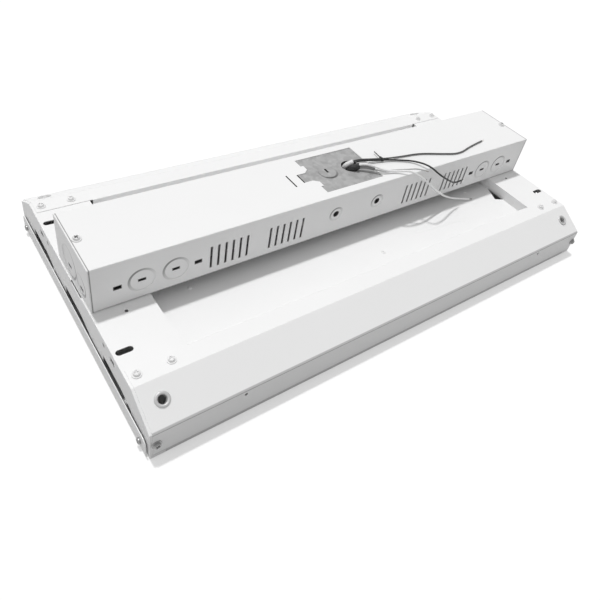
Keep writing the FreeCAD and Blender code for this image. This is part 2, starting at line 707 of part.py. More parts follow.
def build_cover():
    body = new_body("housing_cover")
    wall, top = "housing_half_width", "housing_top"
    section = [(f"-{wall}", COVER_FOOT), (f"-{wall}", top), (wall, top), (wall, COVER_FOOT),
               (COVER_INSIDE, COVER_FOOT), (COVER_INSIDE, COVER_UNDERSIDE),
               (f"-{COVER_INSIDE}", COVER_UNDERSIDE), (f"-{COVER_INSIDE}", COVER_FOOT)]
    layer(body, "Pad", "YZ_Plane", "0", "2 * cover_half_length", ("outline", section))
    round_edges(body, "bend", along("x", [section[1], section[2]]))
    round_edges(body, "bend - sheet", along("x", [section[5], section[6]]))

    # Access opening: a rectangle with a tongue and two notches on its left.
    left, deep = "-access_half_length", "-access_half_length + access_notch_depth"
    side = [("access_half_length", "access_half_width"), (left, "access_half_width"),
            (left, "access_notch_end"), (deep, "access_notch_end"), (deep, "access_notch_start"),
            (f"{left} - access_throat", "access_tongue_half"),
            ("-access_tongue_end", "access_tongue_half")]
    other_side = [(across, f"-{up}") for across, up in reversed(side)]
    layer(body, "Pocket", "XY_Plane", "housing_top", "6 * sheet", ("outline", [*side, *other_side]),
          slot_box("-access_slit_x", "0", "access_slit_width", "access_slit_length"),
          ("circle", "cover_screw_x", "0", "screw_shank + clearance"),
          ("circle", "-cover_screw_x", "0", "screw_shank + clearance"))

    # Both walls: half-sheared discs, pressed in a little, and slots and holes right through.
    through, discs = [], []
    for end in (1, -1):
        for across in ("hook_slot_outer", "hook_slot_inner"):
            through.append(slot_box(f"({end}) * {across}", "knockout_z", "hook_slot_width",
                                    "hook_slot_height"))
        for step in (1, -1):
            across = f"(({end}) * knockout_x + ({step}) * knockout_spacing / 2)"
            through.append(slot_box(across, "knockout_z", "pry_length", "pry_width"))
            discs.append(("circle", across, "knockout_z", "knockout_radius"))
        through.append(("circle", f"({end}) * side_hole_x", "side_hole_z", "side_hole_radius"))
        discs.append(("circle", f"({end}) * side_hole_x", "side_hole_z", "side_dimple_radius"))
    for side_sign in (1, -1):
        layer(body, "Pocket", "XZ_Plane", f"({side_sign}) * housing_half_width", "2 * knockout_step",
              *discs)
    layer(body, "Pocket", "XZ_Plane", "0", "3 * housing_half_width", *through)

    # Four groups of upright louvre slots, each one slot repeated along the wall.
    for first in ("-louvre_first", "-louvre_inner", "louvre_inner - (louvre_count - 1) * louvre_pitch",
                  "louvre_first - (louvre_count - 1) * louvre_pitch"):
        slot = layer(body, "Pocket", "XZ_Plane", "0", "3 * housing_half_width",
                     slot_box(first, "louvre_middle", "louvre_width", "louvre_height"))
        pattern = body.newObject("PartDesign::LinearPattern", "louvres")
        pattern.Originals = [slot]
        pattern.Direction = (slot.Profile[0], ["H_Axis"])
        pattern.setExpression("Length", cell("(louvre_count - 1) * louvre_pitch"))
        pattern.setExpression("Occurrences", cell("louvre_count"))
        body.Tip = pattern
        doc.recompute()
    return keep("housing_cover", body)


build_cover()


# End caps: a plate over the cover's whole section, with flanges that reach in under the cover.

def build_end_cap(label, end):
    outer = f"({end}) * housing_half_length"
    body = new_body(label)
    layer(body, "Pad", "YZ_Plane", f"{outer} - ({end}) * end_sheet / 2", "end_sheet",
          ("outline", box_points("-housing_half_width", "housing_half_width", BRACKET_TOP,
                                 "housing_top")))
    round_edges(body, "bend", along("x", [("housing_half_width", "housing_top"),
                                          ("-housing_half_width", "housing_top")]))
    inside = f"({COVER_INSIDE} - end_sheet)"
    channel = [(f"-{COVER_INSIDE}", BRACKET_TOP), (f"-{COVER_INSIDE}", COVER_UNDERSIDE),
               (COVER_INSIDE, COVER_UNDERSIDE), (COVER_INSIDE, BRACKET_TOP), (inside, BRACKET_TOP),
               (inside, f"{COVER_UNDERSIDE} - end_sheet"), (f"-{inside}", f"{COVER_UNDERSIDE} - end_sheet"),
               (f"-{inside}", BRACKET_TOP)]
    layer(body, "Pad", "YZ_Plane", f"{outer} - ({end}) * (end_sheet + end_flange) / 2",
          "end_flange - end_sheet", ("outline", channel))
    round_edges(body, "bend", along("x", [channel[1], channel[2]]))
    layer(body, "Pocket", "XY_Plane", COVER_UNDERSIDE, "3 * end_sheet",
          ("circle", f"({end}) * cover_screw_x", "0", "screw_shank + clearance"))
    discs, slots = [], []
    for across, up, radius in (
            (f"(-({end})) * end_knockout_y", "end_knockout_z", "end_knockout_radius"),
            (f"({end}) * small_knockout_y", "small_knockout_z", "small_knockout_radius")):
        discs.append(("circle", across, up, radius))
        slots.append(slot_box(across, f"{up} - pry_drop", "pry_length", "pry_width"))
    layer(body, "Pocket", "YZ_Plane", outer, "2 * knockout_step", *discs)
    layer(body, "Pocket", "YZ_Plane", outer, "4 * end_sheet", *slots)
    return keep(label, body)


for cap_label, cap_end in (("housing_end_left", -1), ("housing_end_right", 1)):
    build_end_cap(cap_label, cap_end)


def build_base():
    body = new_body("housing_base")
    high = f"{BRACKET_TOP} + base_flange"
    inside = f"({COVER_INSIDE} - sheet)"
    section = [(f"-{COVER_INSIDE}", BRACKET_TOP), (COVER_INSIDE, BRACKET_TOP), (COVER_INSIDE, high),
               (inside, high), (inside, BASE_TOP), (f"-{inside}", BASE_TOP), (f"-{inside}", high),
               (f"-{COVER_INSIDE}", high)]
    layer(body, "Pad", "YZ_Plane", "0", "2 * (housing_half_length - base_inset)",
          ("outline", section))
    round_edges(body, "bend", along("x", [section[0], section[1]]))
    bolts = [("circle", f"({end}) * housing_bolt_x", f"({side}) * housing_bolt_y",
              "screw_shank + clearance") for end in (1, -1) for side in (1, -1)]
    screws = [("circle", f"({end}) * driver_x + ({step}) * (driver_length / 2 - driver_screw_inset)",
               "0", "screw_shank + clearance") for end in (1, -1) for step in (1, -1)]
    layer(body, "Pocket", "XY_Plane", BASE_TOP, "4 * sheet", *bolts, *screws)
    return keep("housing_base", body)


build_base()


# Galvanised access plate under the opening, with one closed and one open knockout.

def build_access_plate():
    body = new_body("access_plate")
    long_edge = "(access_half_length + plate_overlap)"
    wide_edge = "(access_half_width + plate_overlap)"
    tongue = "-(access_tongue_end - plate_tongue_gap)"
    half = "(access_tongue_half + plate_overlap)"
    outline = [(long_edge, f"-{wide_edge}"), (long_edge, wide_edge), (f"-{long_edge}", wide_edge),
               (f"-{long_edge}", half), (tongue, half), (tongue, f"-{half}"),
               (f"-{long_edge}", f"-{half}"), (f"-{long_edge}", f"-{wide_edge}")]
    layer(body, "Pad", "XY_Plane", f"{PLATE_TOP} - sheet / 2", "sheet", ("outline", outline))
    layer(body, "Pad", "XY_Plane", PLATE_TOP, "2 * knockout_step",
          ("circle", "-plate_hole_x", "0", "plate_hole_radius"))
    layer(body, "Pocket", "XY_Plane", PLATE_TOP, "4 * sheet",
          ("circle", "plate_hole_x", "0", "plate_hole_radius"),
          slot_box("-plate_hole_x", "plate_pry_y", "pry_width", "pry_length"))
    return keep("access_plate", body)


build_access_plate()


# Two LED drivers on the base channel, each a case with a screwed foot at either end.

def build_driver(label, end):
    middle = f"({end}) * driver_x"
    body = new_body(label)
    half = "(driver_length / 2)"
    layer(body, "Pad", "XY_Plane", f"{BASE_TOP} + driver_foot_thickness / 2", "driver_foot_thickness",
          ("outline", box_points(f"{middle} - {half}", f"{middle} + {half}", "-driver_width / 2",
                                 "driver_width / 2")))
    case = f"({half} - driver_foot)"
    layer(body, "Pad", "XY_Plane", f"{BASE_TOP} + driver_height / 2", "driver_height",
          ("outline", box_points(f"{middle} - {case}", f"{middle} + {case}", "-driver_width / 2",
                                 "driver_width / 2")))
    screws = [("circle", f"{middle} + ({step}) * ({half} - driver_screw_inset)", "0",
               "screw_shank + clearance") for step in (1, -1)]
    layer(body, "Pocket", "XY_Plane", BASE_TOP, "4 * driver_foot_thickness", *screws)
    return keep(label, body)


for driver_label, driver_end in (("driver_left", -1), ("driver_right", 1)):
    build_driver(driver_label, driver_end)


# Fasteners. Each kind is drawn once about its own axis, head up, and set in its places.

def turned(profile):
    """Solid turned about Z from (radius, height) corners."""
    points = [FreeCAD.Vector(across, 0, up) for across, up in profile]
    return Part.Face(Part.makePolygon(points + points[:1])).revolve(
        FreeCAD.Vector(), FreeCAD.Vector(0, 0, 1), 360)


def screw(length, washer=True):
    """Screw with a washer head; the seat is at z = 0."""
    shank, head, edge = value("screw_shank"), value("head_radius"), value("head_edge")
    rim = value("washer_radius") if washer else head
    seat = value("washer_thickness") if washer else 0.0
    high = seat + value("head_height")
    corners = [(0, -length), (shank, -length), (shank, 0), (rim, 0)]
    if washer:
        corners += [(rim, seat), (head, seat)]
    return turned([*corners, (head, high - edge), (head - edge, high), (0, high)])


def facing(direction):
    """Rotation that turns +Z to a direction."""
    return FreeCAD.Rotation(FreeCAD.Vector(0, 0, 1), FreeCAD.Vector(*direction))


SIDES = [(end, side) for end in (-1, 1) for side in (-1, 1)]
long_screw, plain_screw = screw(value("screw_length")), screw(value("screw_length"), washer=False)

group("wing_screws", [
    placed(long_screw, end * value(across), side * value("screw_y"), value("body_height"))
    for end, side in SIDES for across in ("screw_x", "screw_x - screw_spacing")])
group("skirt_screws", [
    placed(long_screw, end * value("skirt_screw_x"), side * value("wing_half_width"),
           value("skirt_screw_z"), facing((0, side, 0))) for end, side in SIDES])
group("lens_frame_screws", [
    placed(plain_screw, end * value("frame_outside"), side * value("frame_screw_y"),
           value("frame_screw_z"), facing((end, 0, 0))) for end, side in SIDES])
group("cover_screws", [
    placed(long_screw, end * value("cover_screw_x"), 0, value("housing_top")) for end in (-1, 1)])
group("driver_screws", [
    placed(screw(value("driver_foot_thickness + 3 * sheet")),
           end * value("driver_x") + step * value("driver_length / 2 - driver_screw_inset"), 0,
           value(f"{BASE_TOP} + driver_foot_thickness")) for end in (-1, 1) for step in (-1, 1)])
group("housing_bolts", [
    placed(long_screw, end * value("housing_bolt_x"), side * value("housing_bolt_y"), value(BASE_TOP))
    for end, side in SIDES])


def hexagon_nut():
    flats, high = value("nut_width"), value("nut_height")
    reach = flats / math.sqrt(3)
    corners = [FreeCAD.Vector(reach * math.cos(turn * math.pi / 3), reach * math.sin(turn * math.pi / 3), 0)
               for turn in range(7)]
    prism = Part.Face(Part.makePolygon(corners)).extrude(FreeCAD.Vector(0, 0, high))
    return prism.cut(Part.makeCylinder(value("screw_shank + clearance"), high))


group("housing_nuts", [
    placed(hexagon_nut(), end * value("housing_bolt_x"), side * value("housing_bolt_y"),
           value(f"{BRACKET_TOP} - sheet - nut_height")) for end, side in SIDES])


def rivet():
    """Rivet through tray and board with a low head and a flared foot; the seat is at z = 0."""
    shank, rim, foot = value("rivet_shank"), value("rivet_radius"), value("rivet_foot")
    high, edge, grip = value("rivet_height"), value("rivet_edge"), value("sheet + board_thickness")
    low = value("package_height") / 2
    return turned([(0, -grip - low), (foot, -grip - low), (foot, -grip), (shank, -grip), (shank, 0),
                   (rim, 0), (rim - edge, high), (0, high)])


tray_rivet = rivet()
tray_level = value(TRAY_TOP)
group("tray_rivets", [
    placed(tray_rivet, end * value("rivet_inner_x"), side * value("board_inner_y"), tray_level)
    for end, side in SIDES] + [
    placed(tray_rivet, value("rivet_outer_x"), side * value("board_outer_y"), tray_level)
    for side in (-1, 1)])


def eyelet():
    """Turned bush with a chamfered collar; the seat on the slope is at z = 0."""
    bore, barrel, rim = value("eyelet_bore"), value("eyelet_barrel"), value("eyelet_flange")
    high, deep, edge = value("eyelet_height"), value("eyelet_depth"), value("eyelet_edge")
    return turned([(bore, -deep), (barrel, -deep), (barrel, 0), (rim, 0), (rim, high - edge),
                   (rim - edge, high), (bore + edge, high), (bore, high - edge)])


hook_eyelet = eyelet()
hook_shapes = []
for hook_end, hook_side in SIDES:
    hook = hook_eyelet.copy()
    hook.Placement = eyelet_place(hook_end, hook_side)
    hook_shapes.append(hook)
group("hook_eyelets", hook_shapes)


# Leads and sleeves: tubes of straight runs joined by tangent arcs.

ARC_SHARE = 0.45


def tube(label, diameter, route):
    """Solid of one round section along the route; prints its arcs' radii and its volume."""
    points = [FreeCAD.Vector(*point) for point in route]
    edges, start, radii = [], points[0], []
    for before, corner, after in zip(points, points[1:], points[2:]):
        arrive, leave = corner - before, after - corner
        half_turn = arrive.getAngle(leave) / 2
        reach = ARC_SHARE * min(arrive.Length, leave.Length)
        radii.append(reach / math.tan(half_turn))
        arrive.normalize()
        leave.normalize()
        first, last = corner - arrive * reach, corner + leave * reach
        inward = leave - arrive
        inward.normalize()
        middle = corner + inward * (radii[-1] / math.cos(half_turn) - radii[-1])
        edges += [Part.LineSegment(start, first).toShape(), Part.Arc(first, middle, last).toShape()]
        start = last
    edges.append(Part.LineSegment(start, points[-1]).toShape())
    path = Part.Wire(edges)
    heading = points[1] - points[0]
    ring = Part.Wire([Part.Circle(points[0], heading, diameter / 2).toShape()])
    solid = path.makePipeShell([ring], True, False, 0)
    expected = math.pi * diameter ** 2 / 4 * path.Length
    print(f"{label}: length {path.Length:.1f}, radii", [round(radius, 1) for radius in radii],
          f"volume ratio {abs(solid.Volume) / expected:.5f}")
    feature = doc.addObject("Part::Feature", label)
    feature.Shape = solid
    return keep(label, feature)


# Each lead starts square to the end face of its sleeve.
BLACK_ROUTE = [(18.255, -1.78, 112.4), (24.255, -3.28, 114.4), (34, -5, 113.6), (46, -5.6, 111.6),
               (66, -9.6, 110.1), (82, -16, 109.6), (98, -25, 110.2), (105, -43.5, 113.4),
               (111, -59, 107.5), (131, -60, 95), (155, -54.5, 80.8), (172.5, -51.8, 80.6)]
DARK_GREY_ROUTE = [(18.945, 0.98, 112.4), (24.945, -0.52, 114.4), (34.4, -2.2, 113.6), (46.5, -3, 111.6),
               (66.5, -7, 110.1), (88, -9.8, 109.4), (118, -13, 109.2), (148, -25.6, 109.3),
               (172, -34, 109.2), (203, -25.4, 109.3), (233, -21.5, 109.2)]
WHITE_ROUTE = [(19.82, -10.16, 114.4), (25.82, -13.16, 116.4), (34.5, -20.5, 115.6),
               (42, -27.5, 113.2), (52, -31, 110.8), (63, -34.4, 110), (74.5, -44.6, 114.3),
               (97, -52, 98.5), (125, -52.5, 75), (149, -52, 59.5), (176, -50.5, 47.5),
               (202, -57.5, 44.2)]
PALE_SLEEVE_ROUTE = [(9.2, 4.6, 95), (10.6, 4, 104.6), (12.6, 1.1, 110.4), (18.6, -0.4, 112.4)]
DARK_SLEEVE_ROUTE = [(12.4, -3.6, 96), (12.8, -4, 104.5), (14.3, -7.4, 110.6), (20.3, -10.4, 112.6)]
THIN_SLEEVE_ROUTE = [(20.7, -10.6, 111.1), (26.7, -13.6, 113.1), (36, -20.4, 111)]
GREY_ROUTE = [(36, -20.4, 111), (44.37, -26.52, 109.11), (60, -29.4, 109.4), (76, -35.6, 110),
              (87, -43, 113.4), (98.5, -49.5, 110)]
tube("lead_black", value("lead_diameter"), BLACK_ROUTE)
tube("lead_dark_grey", value("dark_grey_lead_diameter"), DARK_GREY_ROUTE)
tube("lead_white", value("white_lead_diameter"), WHITE_ROUTE)
tube("lead_grey", value("grey_lead_diameter"), GREY_ROUTE)
tube("sleeve_pale", value("pale_sleeve"), PALE_SLEEVE_ROUTE)
tube("sleeve_dark", value("dark_sleeve"), DARK_SLEEVE_ROUTE)
tube("sleeve_thin", value("thin_sleeve"), THIN_SLEEVE_ROUTE)


def build_cable_tie():
    """Band round the black and dark grey leads where they run side by side, with head and tail."""
    black, grey = (FreeCAD.Vector(*route[3]) + FreeCAD.Vector(*route[4])
                    for route in (BLACK_ROUTE, DARK_GREY_ROUTE))
    heading = FreeCAD.Vector(*BLACK_ROUTE[4]) - FreeCAD.Vector(*BLACK_ROUTE[3])
    across = (grey - black) / 2
    width, band, head = value("tie_width"), value("tie_band"), value("tie_head")
    inside = value("lead_diameter / 2 + clearance")
    loops = []
    for radius in (inside + band, inside):
        ends = [Part.makeCylinder(radius, width, FreeCAD.Vector(-width / 2, side * across.Length / 2, 0),
                                  FreeCAD.Vector(1, 0, 0)) for side in (-1, 1)]
        middle = Part.makeBox(width, across.Length, 2 * radius,
                              FreeCAD.Vector(-width / 2, -across.Length / 2, -radius))
        loops.append(ends[0].fuse(ends[1]).fuse(middle))
    seat = across.Length / 2 + inside + band / 2
    block = Part.makeBox(head, head * 0.75, head, FreeCAD.Vector(-head / 2, seat, -head / 2))
    tail = Part.makeBox(width, value("tie_tail"), band, FreeCAD.Vector(-width / 2, 0, -band / 2))
    rise = FreeCAD.Rotation(FreeCAD.Vector(1, 0, 0), value("tie_rise"))
    twist = FreeCAD.Rotation(FreeCAD.Vector(0, 1, 0), value("tie_twist"))
    tail.Placement = FreeCAD.Placement(FreeCAD.Vector(0, seat + head / 3, 0), rise.multiply(twist))
    tie = loops[0].fuse(block).fuse(tail).cut(loops[1]).removeSplitter()
    turn = FreeCAD.Rotation(heading, across, FreeCAD.Vector(), "XYZ")
    return group("cable_tie", [placed(tie, *((black + grey) / 4), turn)])


build_cable_tie()


doc.recompute()

# Every object must have recomputed, and every sub-part must be a valid shape, before writing.
failed = [item.Label for item in doc.Objects if {"Invalid", "Error"} & set(item.State)]
if failed:
    raise SystemExit(f"objects that failed: {failed}")
for name, item in SUBPARTS.items():
    if item.Shape.isNull() or not item.Shape.isValid() or not item.Shape.Solids:
        raise SystemExit(f"sub-part without a valid shape: {name}")

os.makedirs("parts", exist_ok=True)
for name, item in SUBPARTS.items():
    item.Shape.exportStep(os.path.join("parts", name + ".step"))
print(f"{len(SUBPARTS)} sub-parts, {sum(len(item.Shape.Solids) for item in SUBPARTS.values())} solids")
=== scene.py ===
"""Linear high bay light, lying face down: its studio, finishes, fasteners, sleeves and leads."""
import json
import math

import bpy
import numpy as np
from mathutils import Euler, Matrix, Vector


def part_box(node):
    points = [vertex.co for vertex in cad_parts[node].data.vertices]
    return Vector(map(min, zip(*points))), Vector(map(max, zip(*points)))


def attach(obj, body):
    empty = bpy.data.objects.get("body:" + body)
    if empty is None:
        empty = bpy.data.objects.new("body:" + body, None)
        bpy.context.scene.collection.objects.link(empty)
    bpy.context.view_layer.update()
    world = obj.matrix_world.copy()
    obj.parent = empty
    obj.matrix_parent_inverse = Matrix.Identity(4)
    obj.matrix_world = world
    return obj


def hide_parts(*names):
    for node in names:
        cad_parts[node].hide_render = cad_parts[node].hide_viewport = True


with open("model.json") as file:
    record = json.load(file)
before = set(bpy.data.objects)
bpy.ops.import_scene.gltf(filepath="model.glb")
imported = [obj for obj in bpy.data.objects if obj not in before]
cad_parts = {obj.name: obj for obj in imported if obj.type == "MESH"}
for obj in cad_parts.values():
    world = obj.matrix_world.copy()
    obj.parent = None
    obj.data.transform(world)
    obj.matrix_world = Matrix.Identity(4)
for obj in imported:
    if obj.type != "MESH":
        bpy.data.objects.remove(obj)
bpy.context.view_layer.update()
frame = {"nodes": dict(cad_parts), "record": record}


# The studio: a pale floor under a white sky that is brighter on the left and dimmer in front,
# a small lamp high up behind the fixture, and the camera at the photograph's height and angle.
PHOTO_SIDE = 600
FOCAL_PIXELS = 588.35
LENS_CENTRE = (324.27, 243.16)
SENSOR_WIDTH = 36
CAMERA_PLACE = (-0.4056, -0.41249, 0.47299)
CAMERA_TURN = (49.64, -9.97, -36.40)
SKY_LEVEL = 0.50
SKY_FROM_LEFT = 0.12
SKY_LESS_IN_FRONT = 0.06
LAMP_POWER = 1.84
LAMP_SPREAD = 3.5
LAMP_DIRECTION = (0.0, 0.25, 0.97)
FLOOR_REACH = 6.0
FLOOR_SEEN, FLOOR_GLOW, FLOOR_BOUNCE = 0.60, 0.40, 0.42


class Socket:
    """A value in a material; arithmetic on it adds Math nodes and gives a new Socket."""

    def __init__(self, tree, link):
        self.tree, self.link = tree, link

    def maths(self, operation, first, second=0.0):
        return self.tree.node("Math", {"operation": operation}, {0: first, 1: second})

    def __add__(self, other):
        return self.maths("ADD", self, other)

    def __radd__(self, other):
        return self.maths("ADD", other, self)

    def __sub__(self, other):
        return self.maths("SUBTRACT", self, other)

    def __rsub__(self, other):
        return self.maths("SUBTRACT", other, self)

    def __mul__(self, other):
        return self.maths("MULTIPLY", self, other)

    def __rmul__(self, other):
        return self.maths("MULTIPLY", other, self)

    def __truediv__(self, other):
        return self.maths("DIVIDE", self, other)

    def __rtruediv__(self, other):
        return self.maths("DIVIDE", other, self)

    def __gt__(self, other):
        return self.maths("GREATER_THAN", self, other)

    def __lt__(self, other):
        return self.maths("LESS_THAN", self, other)

    def __abs__(self):
        return self.maths("ABSOLUTE", self)

    def fade(self, near, far):
        """1 up to near, falling smoothly to 0 at far."""
        return self.tree.node("MapRange", {"interpolation_type": "SMOOTHSTEP"}, {
            "Value": self, "From Min": near, "From Max": far, "To Min": 1.0, "To Max": 0.0})


class Tree:
    """Nodes of a material or the sky; `node` adds any node by type, settings and inputs."""

    def __init__(self, owner):
        owner.use_nodes = True
        self.nodes, self.links = owner.node_tree.nodes, owner.node_tree.links

    def join(self, target, value):
        if isinstance(value, Socket):
            self.links.new(value.link, target)
        else:
            target.default_value = value

    def node(self, kind, settings=None, inputs=None, output=0):
        added = self.nodes.new("ShaderNode" + kind)
        for name, value in (settings or {}).items():
            setattr(added, name, value)
        for name, value in (inputs or {}).items():
            self.join(added.inputs[name], value)
        return Socket(self, added.outputs[output])

    def set(self, shader, **inputs):
        """Inputs of a node by name, with low lines for spaces."""
        for name, value in inputs.items():
            self.join(self.nodes[shader].inputs[name.replace("_", " ")], value)

    def place(self):
        return self.node("TexCoord", output="Object")

    def split(self, vector):
        return [self.node("SeparateXYZ", inputs={0: vector}, output=axis) for axis in "XYZ"]

    def axes(self):
        return self.split(self.place())

    def noise(self, scale, detail, roughness=0.5, stretch=(1, 1, 1)):
        vector = self.node("Mapping", inputs={"Vector": self.place(), "Scale": stretch})
        return self.node("TexNoise", inputs={"Vector": vector, "Scale": scale, "Detail": detail,
                                             "Roughness": roughness})

    def mix(self, factor, first, second):
        """Colour that runs from the first to the second as the factor goes from 0 to 1."""
        return self.node("Mix", {"data_type": "RGBA"}, {0: factor, 6: first, 7: second}, output=2)

    def bump(self, height, depth, strength):
        return self.node("Bump", inputs={"Height": height, "Distance": depth, "Strength": strength})


def grey(level, tint=(1, 1, 1)):
    """A plain grey, or a tint at that level."""
    return (level * tint[0], level * tint[1], level * tint[2], 1)


def add_camera():
    """The photograph is a square crop, so the lens centre lies off its middle and gives the shift."""
    lens = bpy.data.cameras.new("camera")
    lens.sensor_width = SENSOR_WIDTH
    lens.lens = FOCAL_PIXELS / PHOTO_SIDE * SENSOR_WIDTH
    lens.shift_x = (PHOTO_SIDE / 2 - LENS_CENTRE[0]) / PHOTO_SIDE
    lens.shift_y = (LENS_CENTRE[1] - PHOTO_SIDE / 2) / PHOTO_SIDE
    lens.clip_start = 0.01
    camera = bpy.data.objects.new("camera", lens)
    camera.location = CAMERA_PLACE
    camera.rotation_euler = Euler([math.radians(turn) for turn in CAMERA_TURN], "XYZ")
    bpy.context.scene.collection.objects.link(camera)
    bpy.context.scene.camera = camera


def add_floor():
    """A pale sheet that looks white, glows a little so that shadows on it stay faint, and throws
    little light back up, as a far floor does."""
    mesh = bpy.data.meshes.new("floor")
    corners = [(x * FLOOR_REACH, y * FLOOR_REACH, 0) for x, y in ((-1, -1), (1, -1), (1, 1), (-1, 1))]
    mesh.from_pydata(corners, [], [(0, 1, 2, 3)])
    floor = bpy.data.objects.new("floor", mesh)
    bpy.context.scene.collection.objects.link(floor)
    material = bpy.data.materials.new("floor_paper")
    mesh.materials.append(material)
    tree = Tree(material)
    mirrored = tree.node("LightPath", output="Is Glossy Ray")
    seen = tree.node("LightPath", output="Is Camera Ray") + mirrored
    tree.set("Principled BSDF", Base_Color=tree.mix(seen, grey(FLOOR_BOUNCE), grey(FLOOR_SEEN)),
             Roughness=0.9, Specular_IOR_Level=0.0,
             Emission_Color=tree.mix(seen, grey(0), grey(FLOOR_GLOW)), Emission_Strength=1.0)


def add_sky():
    """White where the camera sees it; the light it gives is stronger from the left."""
    world = bpy.data.worlds.new("sky")
    tree = Tree(world)
    right, back, _ = tree.split(tree.node("TexCoord", output="Generated"))
    left, front = (way.maths("MAXIMUM", 0.0 - way, 0.0) for way in (right, back))
    level = SKY_LEVEL + SKY_FROM_LEFT * left - SKY_LESS_IN_FRONT * front
    seen = tree.node("LightPath", output="Is Camera Ray")
    tree.set("Background", Color=(1, 1, 1, 1), Strength=level * (1.0 - seen) + seen)
    bpy.context.scene.world = world


def add_lamp():
    lamp = bpy.data.lights.new("lamp", "SUN")
    lamp.energy = LAMP_POWER
    lamp.angle = math.radians(LAMP_SPREAD)
    holder = bpy.data.objects.new("lamp", lamp)
    holder.rotation_euler = Vector(LAMP_DIRECTION).to_track_quat("Z", "Y").to_euler()
    bpy.context.scene.collection.objects.link(holder)


add_camera()
add_floor()
add_sky()
add_lamp()
bpy.context.scene.view_settings.view_transform = "Standard"


# Brackets, tray, lens frame and housing are 0.8 mm sheet steel, punched, folded and powder
# coated white after folding, so cut edges carry the same skin with its faint orange peel. The
# lens rails, deep inside the skirts, get a greyer white as painted shade from the skirts.
SHEET_WHITE, RAIL_SHADED = 0.86, 0.6
CLOUD_SCALE, CLOUD_DARK, CLOUD_LIGHT = 14, 0.985, 1.01
# Share of the white that the coat falls to under painted shade.
SHADED_SHARE = 0.3
PEEL_SCALE, PEEL_DEPTH, PEEL_STRENGTH = 900, 0.00002, 0.7


def powder_coat(name, level=SHEET_WHITE, shadow=None, relief=None):
    """White coat; shadow is a share by which it darkens, relief a height in metres on its peel."""
    material = bpy.data.materials.new(name)
    tree = Tree(material)
    cloud = tree.noise(CLOUD_SCALE, 3)
    colour = tree.mix(cloud, grey(level * CLOUD_DARK), grey(level * CLOUD_LIGHT))
    if shadow:
        colour = tree.mix(shadow(tree), colour, grey(level * SHADED_SHARE))
    height = tree.noise(PEEL_SCALE, 2) * PEEL_DEPTH
    if relief:
        height = height + relief(tree)
    tree.set("Principled BSDF", Base_Color=colour, Roughness=0.40 + 0.10 * cloud,
             Normal=tree.bump(height, 1.0, PEEL_STRENGTH), Specular_IOR_Level=0.35)
    return material


def coat(names, material):
    """Gives CAD nodes a material in place of the plain one they came with."""
    for name in names:
        mesh = frame["nodes"][name].data
        mesh.materials.clear()
        mesh.materials.append(material)


coat(("bracket_left", "bracket_right", "lens_frame_left", "lens_frame_right"),
     powder_coat("powder_coat_white"))
coat(("lens_rail_front", "lens_rail_rear"), powder_coat("powder_coat_rails", RAIL_SHADED))


# Housing cover and end caps are coated sheet too. Their knockouts are half sheared; painted
# shade darkens each disc's edge, most on one side and not at all on the other. Painted shade
# also darkens the rims of the louvres and slots, and the seams where the cover meets the caps and the
# brackets.
DISC_SHADE_WIDTH, DISC_SHADE_TOWARDS = 0.0018, (-0.6, 0.8)
SEAM, END_SEAM_SHADE, FOOT_SEAM_SHADE, LOUVRE_SHADE = 0.0008, 0.8, 0.5, 0.45
WALL_DISCS = [(side * across, up, radius) for side in (-1, 1) for across, up, radius in
              ((0.0305, 0.0815, 0.0082), (0.2222, 0.0775, 0.0125), (0.2555, 0.0775, 0.0125))]
LOUVRE_GROUPS = (0.1855, 0.1174)
LOUVRE_PITCH, LOUVRE_COUNT, LOUVRE_MIDDLE = 0.00815, 6, 0.0776
LOUVRE_HALF_WIDTH, LOUVRE_HALF_HEIGHT, RIM = 0.00115, 0.0136, 0.0006
END_DISCS = ((0.009, 0.076, 0.017), (-0.0205, 0.0725, 0.0111))
PRY_SLOT, HOOK_SLOT = (0.0035, 0.0013), (0.0036, 0.0020)
WALL_SLOTS = [(across, 0.0775, *half) for across, half in
              ((0.1993, HOOK_SLOT), (0.2222, PRY_SLOT), (0.2555, PRY_SLOT), (0.2786, HOOK_SLOT))]
END_SLOTS = ((0.009, 0.0704, *PRY_SLOT), (-0.0205, 0.0669, *PRY_SLOT))


def disc_shade_rings(tree, across, up, discs, deepest):
    """Painted shade: a soft ring on each disc's edge, given by place and radius, that is strongest
    in one direction and gone in the opposite one."""
    total = 0.0
    for disc_across, disc_up, radius in discs:
        along, above = across - disc_across, up - disc_up
        away = tree.node("VectorMath", {"operation": "LENGTH"}, {
            0: tree.node("CombineXYZ", inputs={"X": along, "Y": above})}, output="Value")
        share = 0.5 + (deepest[0] / radius / 2) * along + (deepest[1] / radius / 2) * above
        total = total + abs(away - radius).fade(DISC_SHADE_WIDTH / 2, DISC_SHADE_WIDTH) * share * share
    return total


def louvre_shade_rims(across, up):
    """Painted shade: a soft rim on each louvre slot; slots repeat inwards from the outermost one of a
    group.
    """
    total = 0.0
    for outermost in LOUVRE_GROUPS:
        inwards = outermost + LOUVRE_PITCH / 2 - across
        group = (inwards > 0.0) * (inwards < LOUVRE_COUNT * LOUVRE_PITCH)
        off_middle = abs(inwards.maths("FLOORED_MODULO", inwards, LOUVRE_PITCH) - LOUVRE_PITCH / 2)
        total = total + group * off_middle.fade(LOUVRE_HALF_WIDTH + RIM / 2, LOUVRE_HALF_WIDTH + RIM)
    return total * abs(up - LOUVRE_MIDDLE).fade(LOUVRE_HALF_HEIGHT, LOUVRE_HALF_HEIGHT + RIM)


def slot_shade_rims(across, up, slots):
    """Painted shade: a soft rim on each slot, given by its place and by half its length and height.
    """
    total = 0.0
    for slot_across, slot_up, length, height in slots:
        total = total + (abs(across - slot_across).fade(length + RIM / 2, length + RIM)
                         * abs(up - slot_up).fade(height + RIM / 2, height + RIM))
    return total


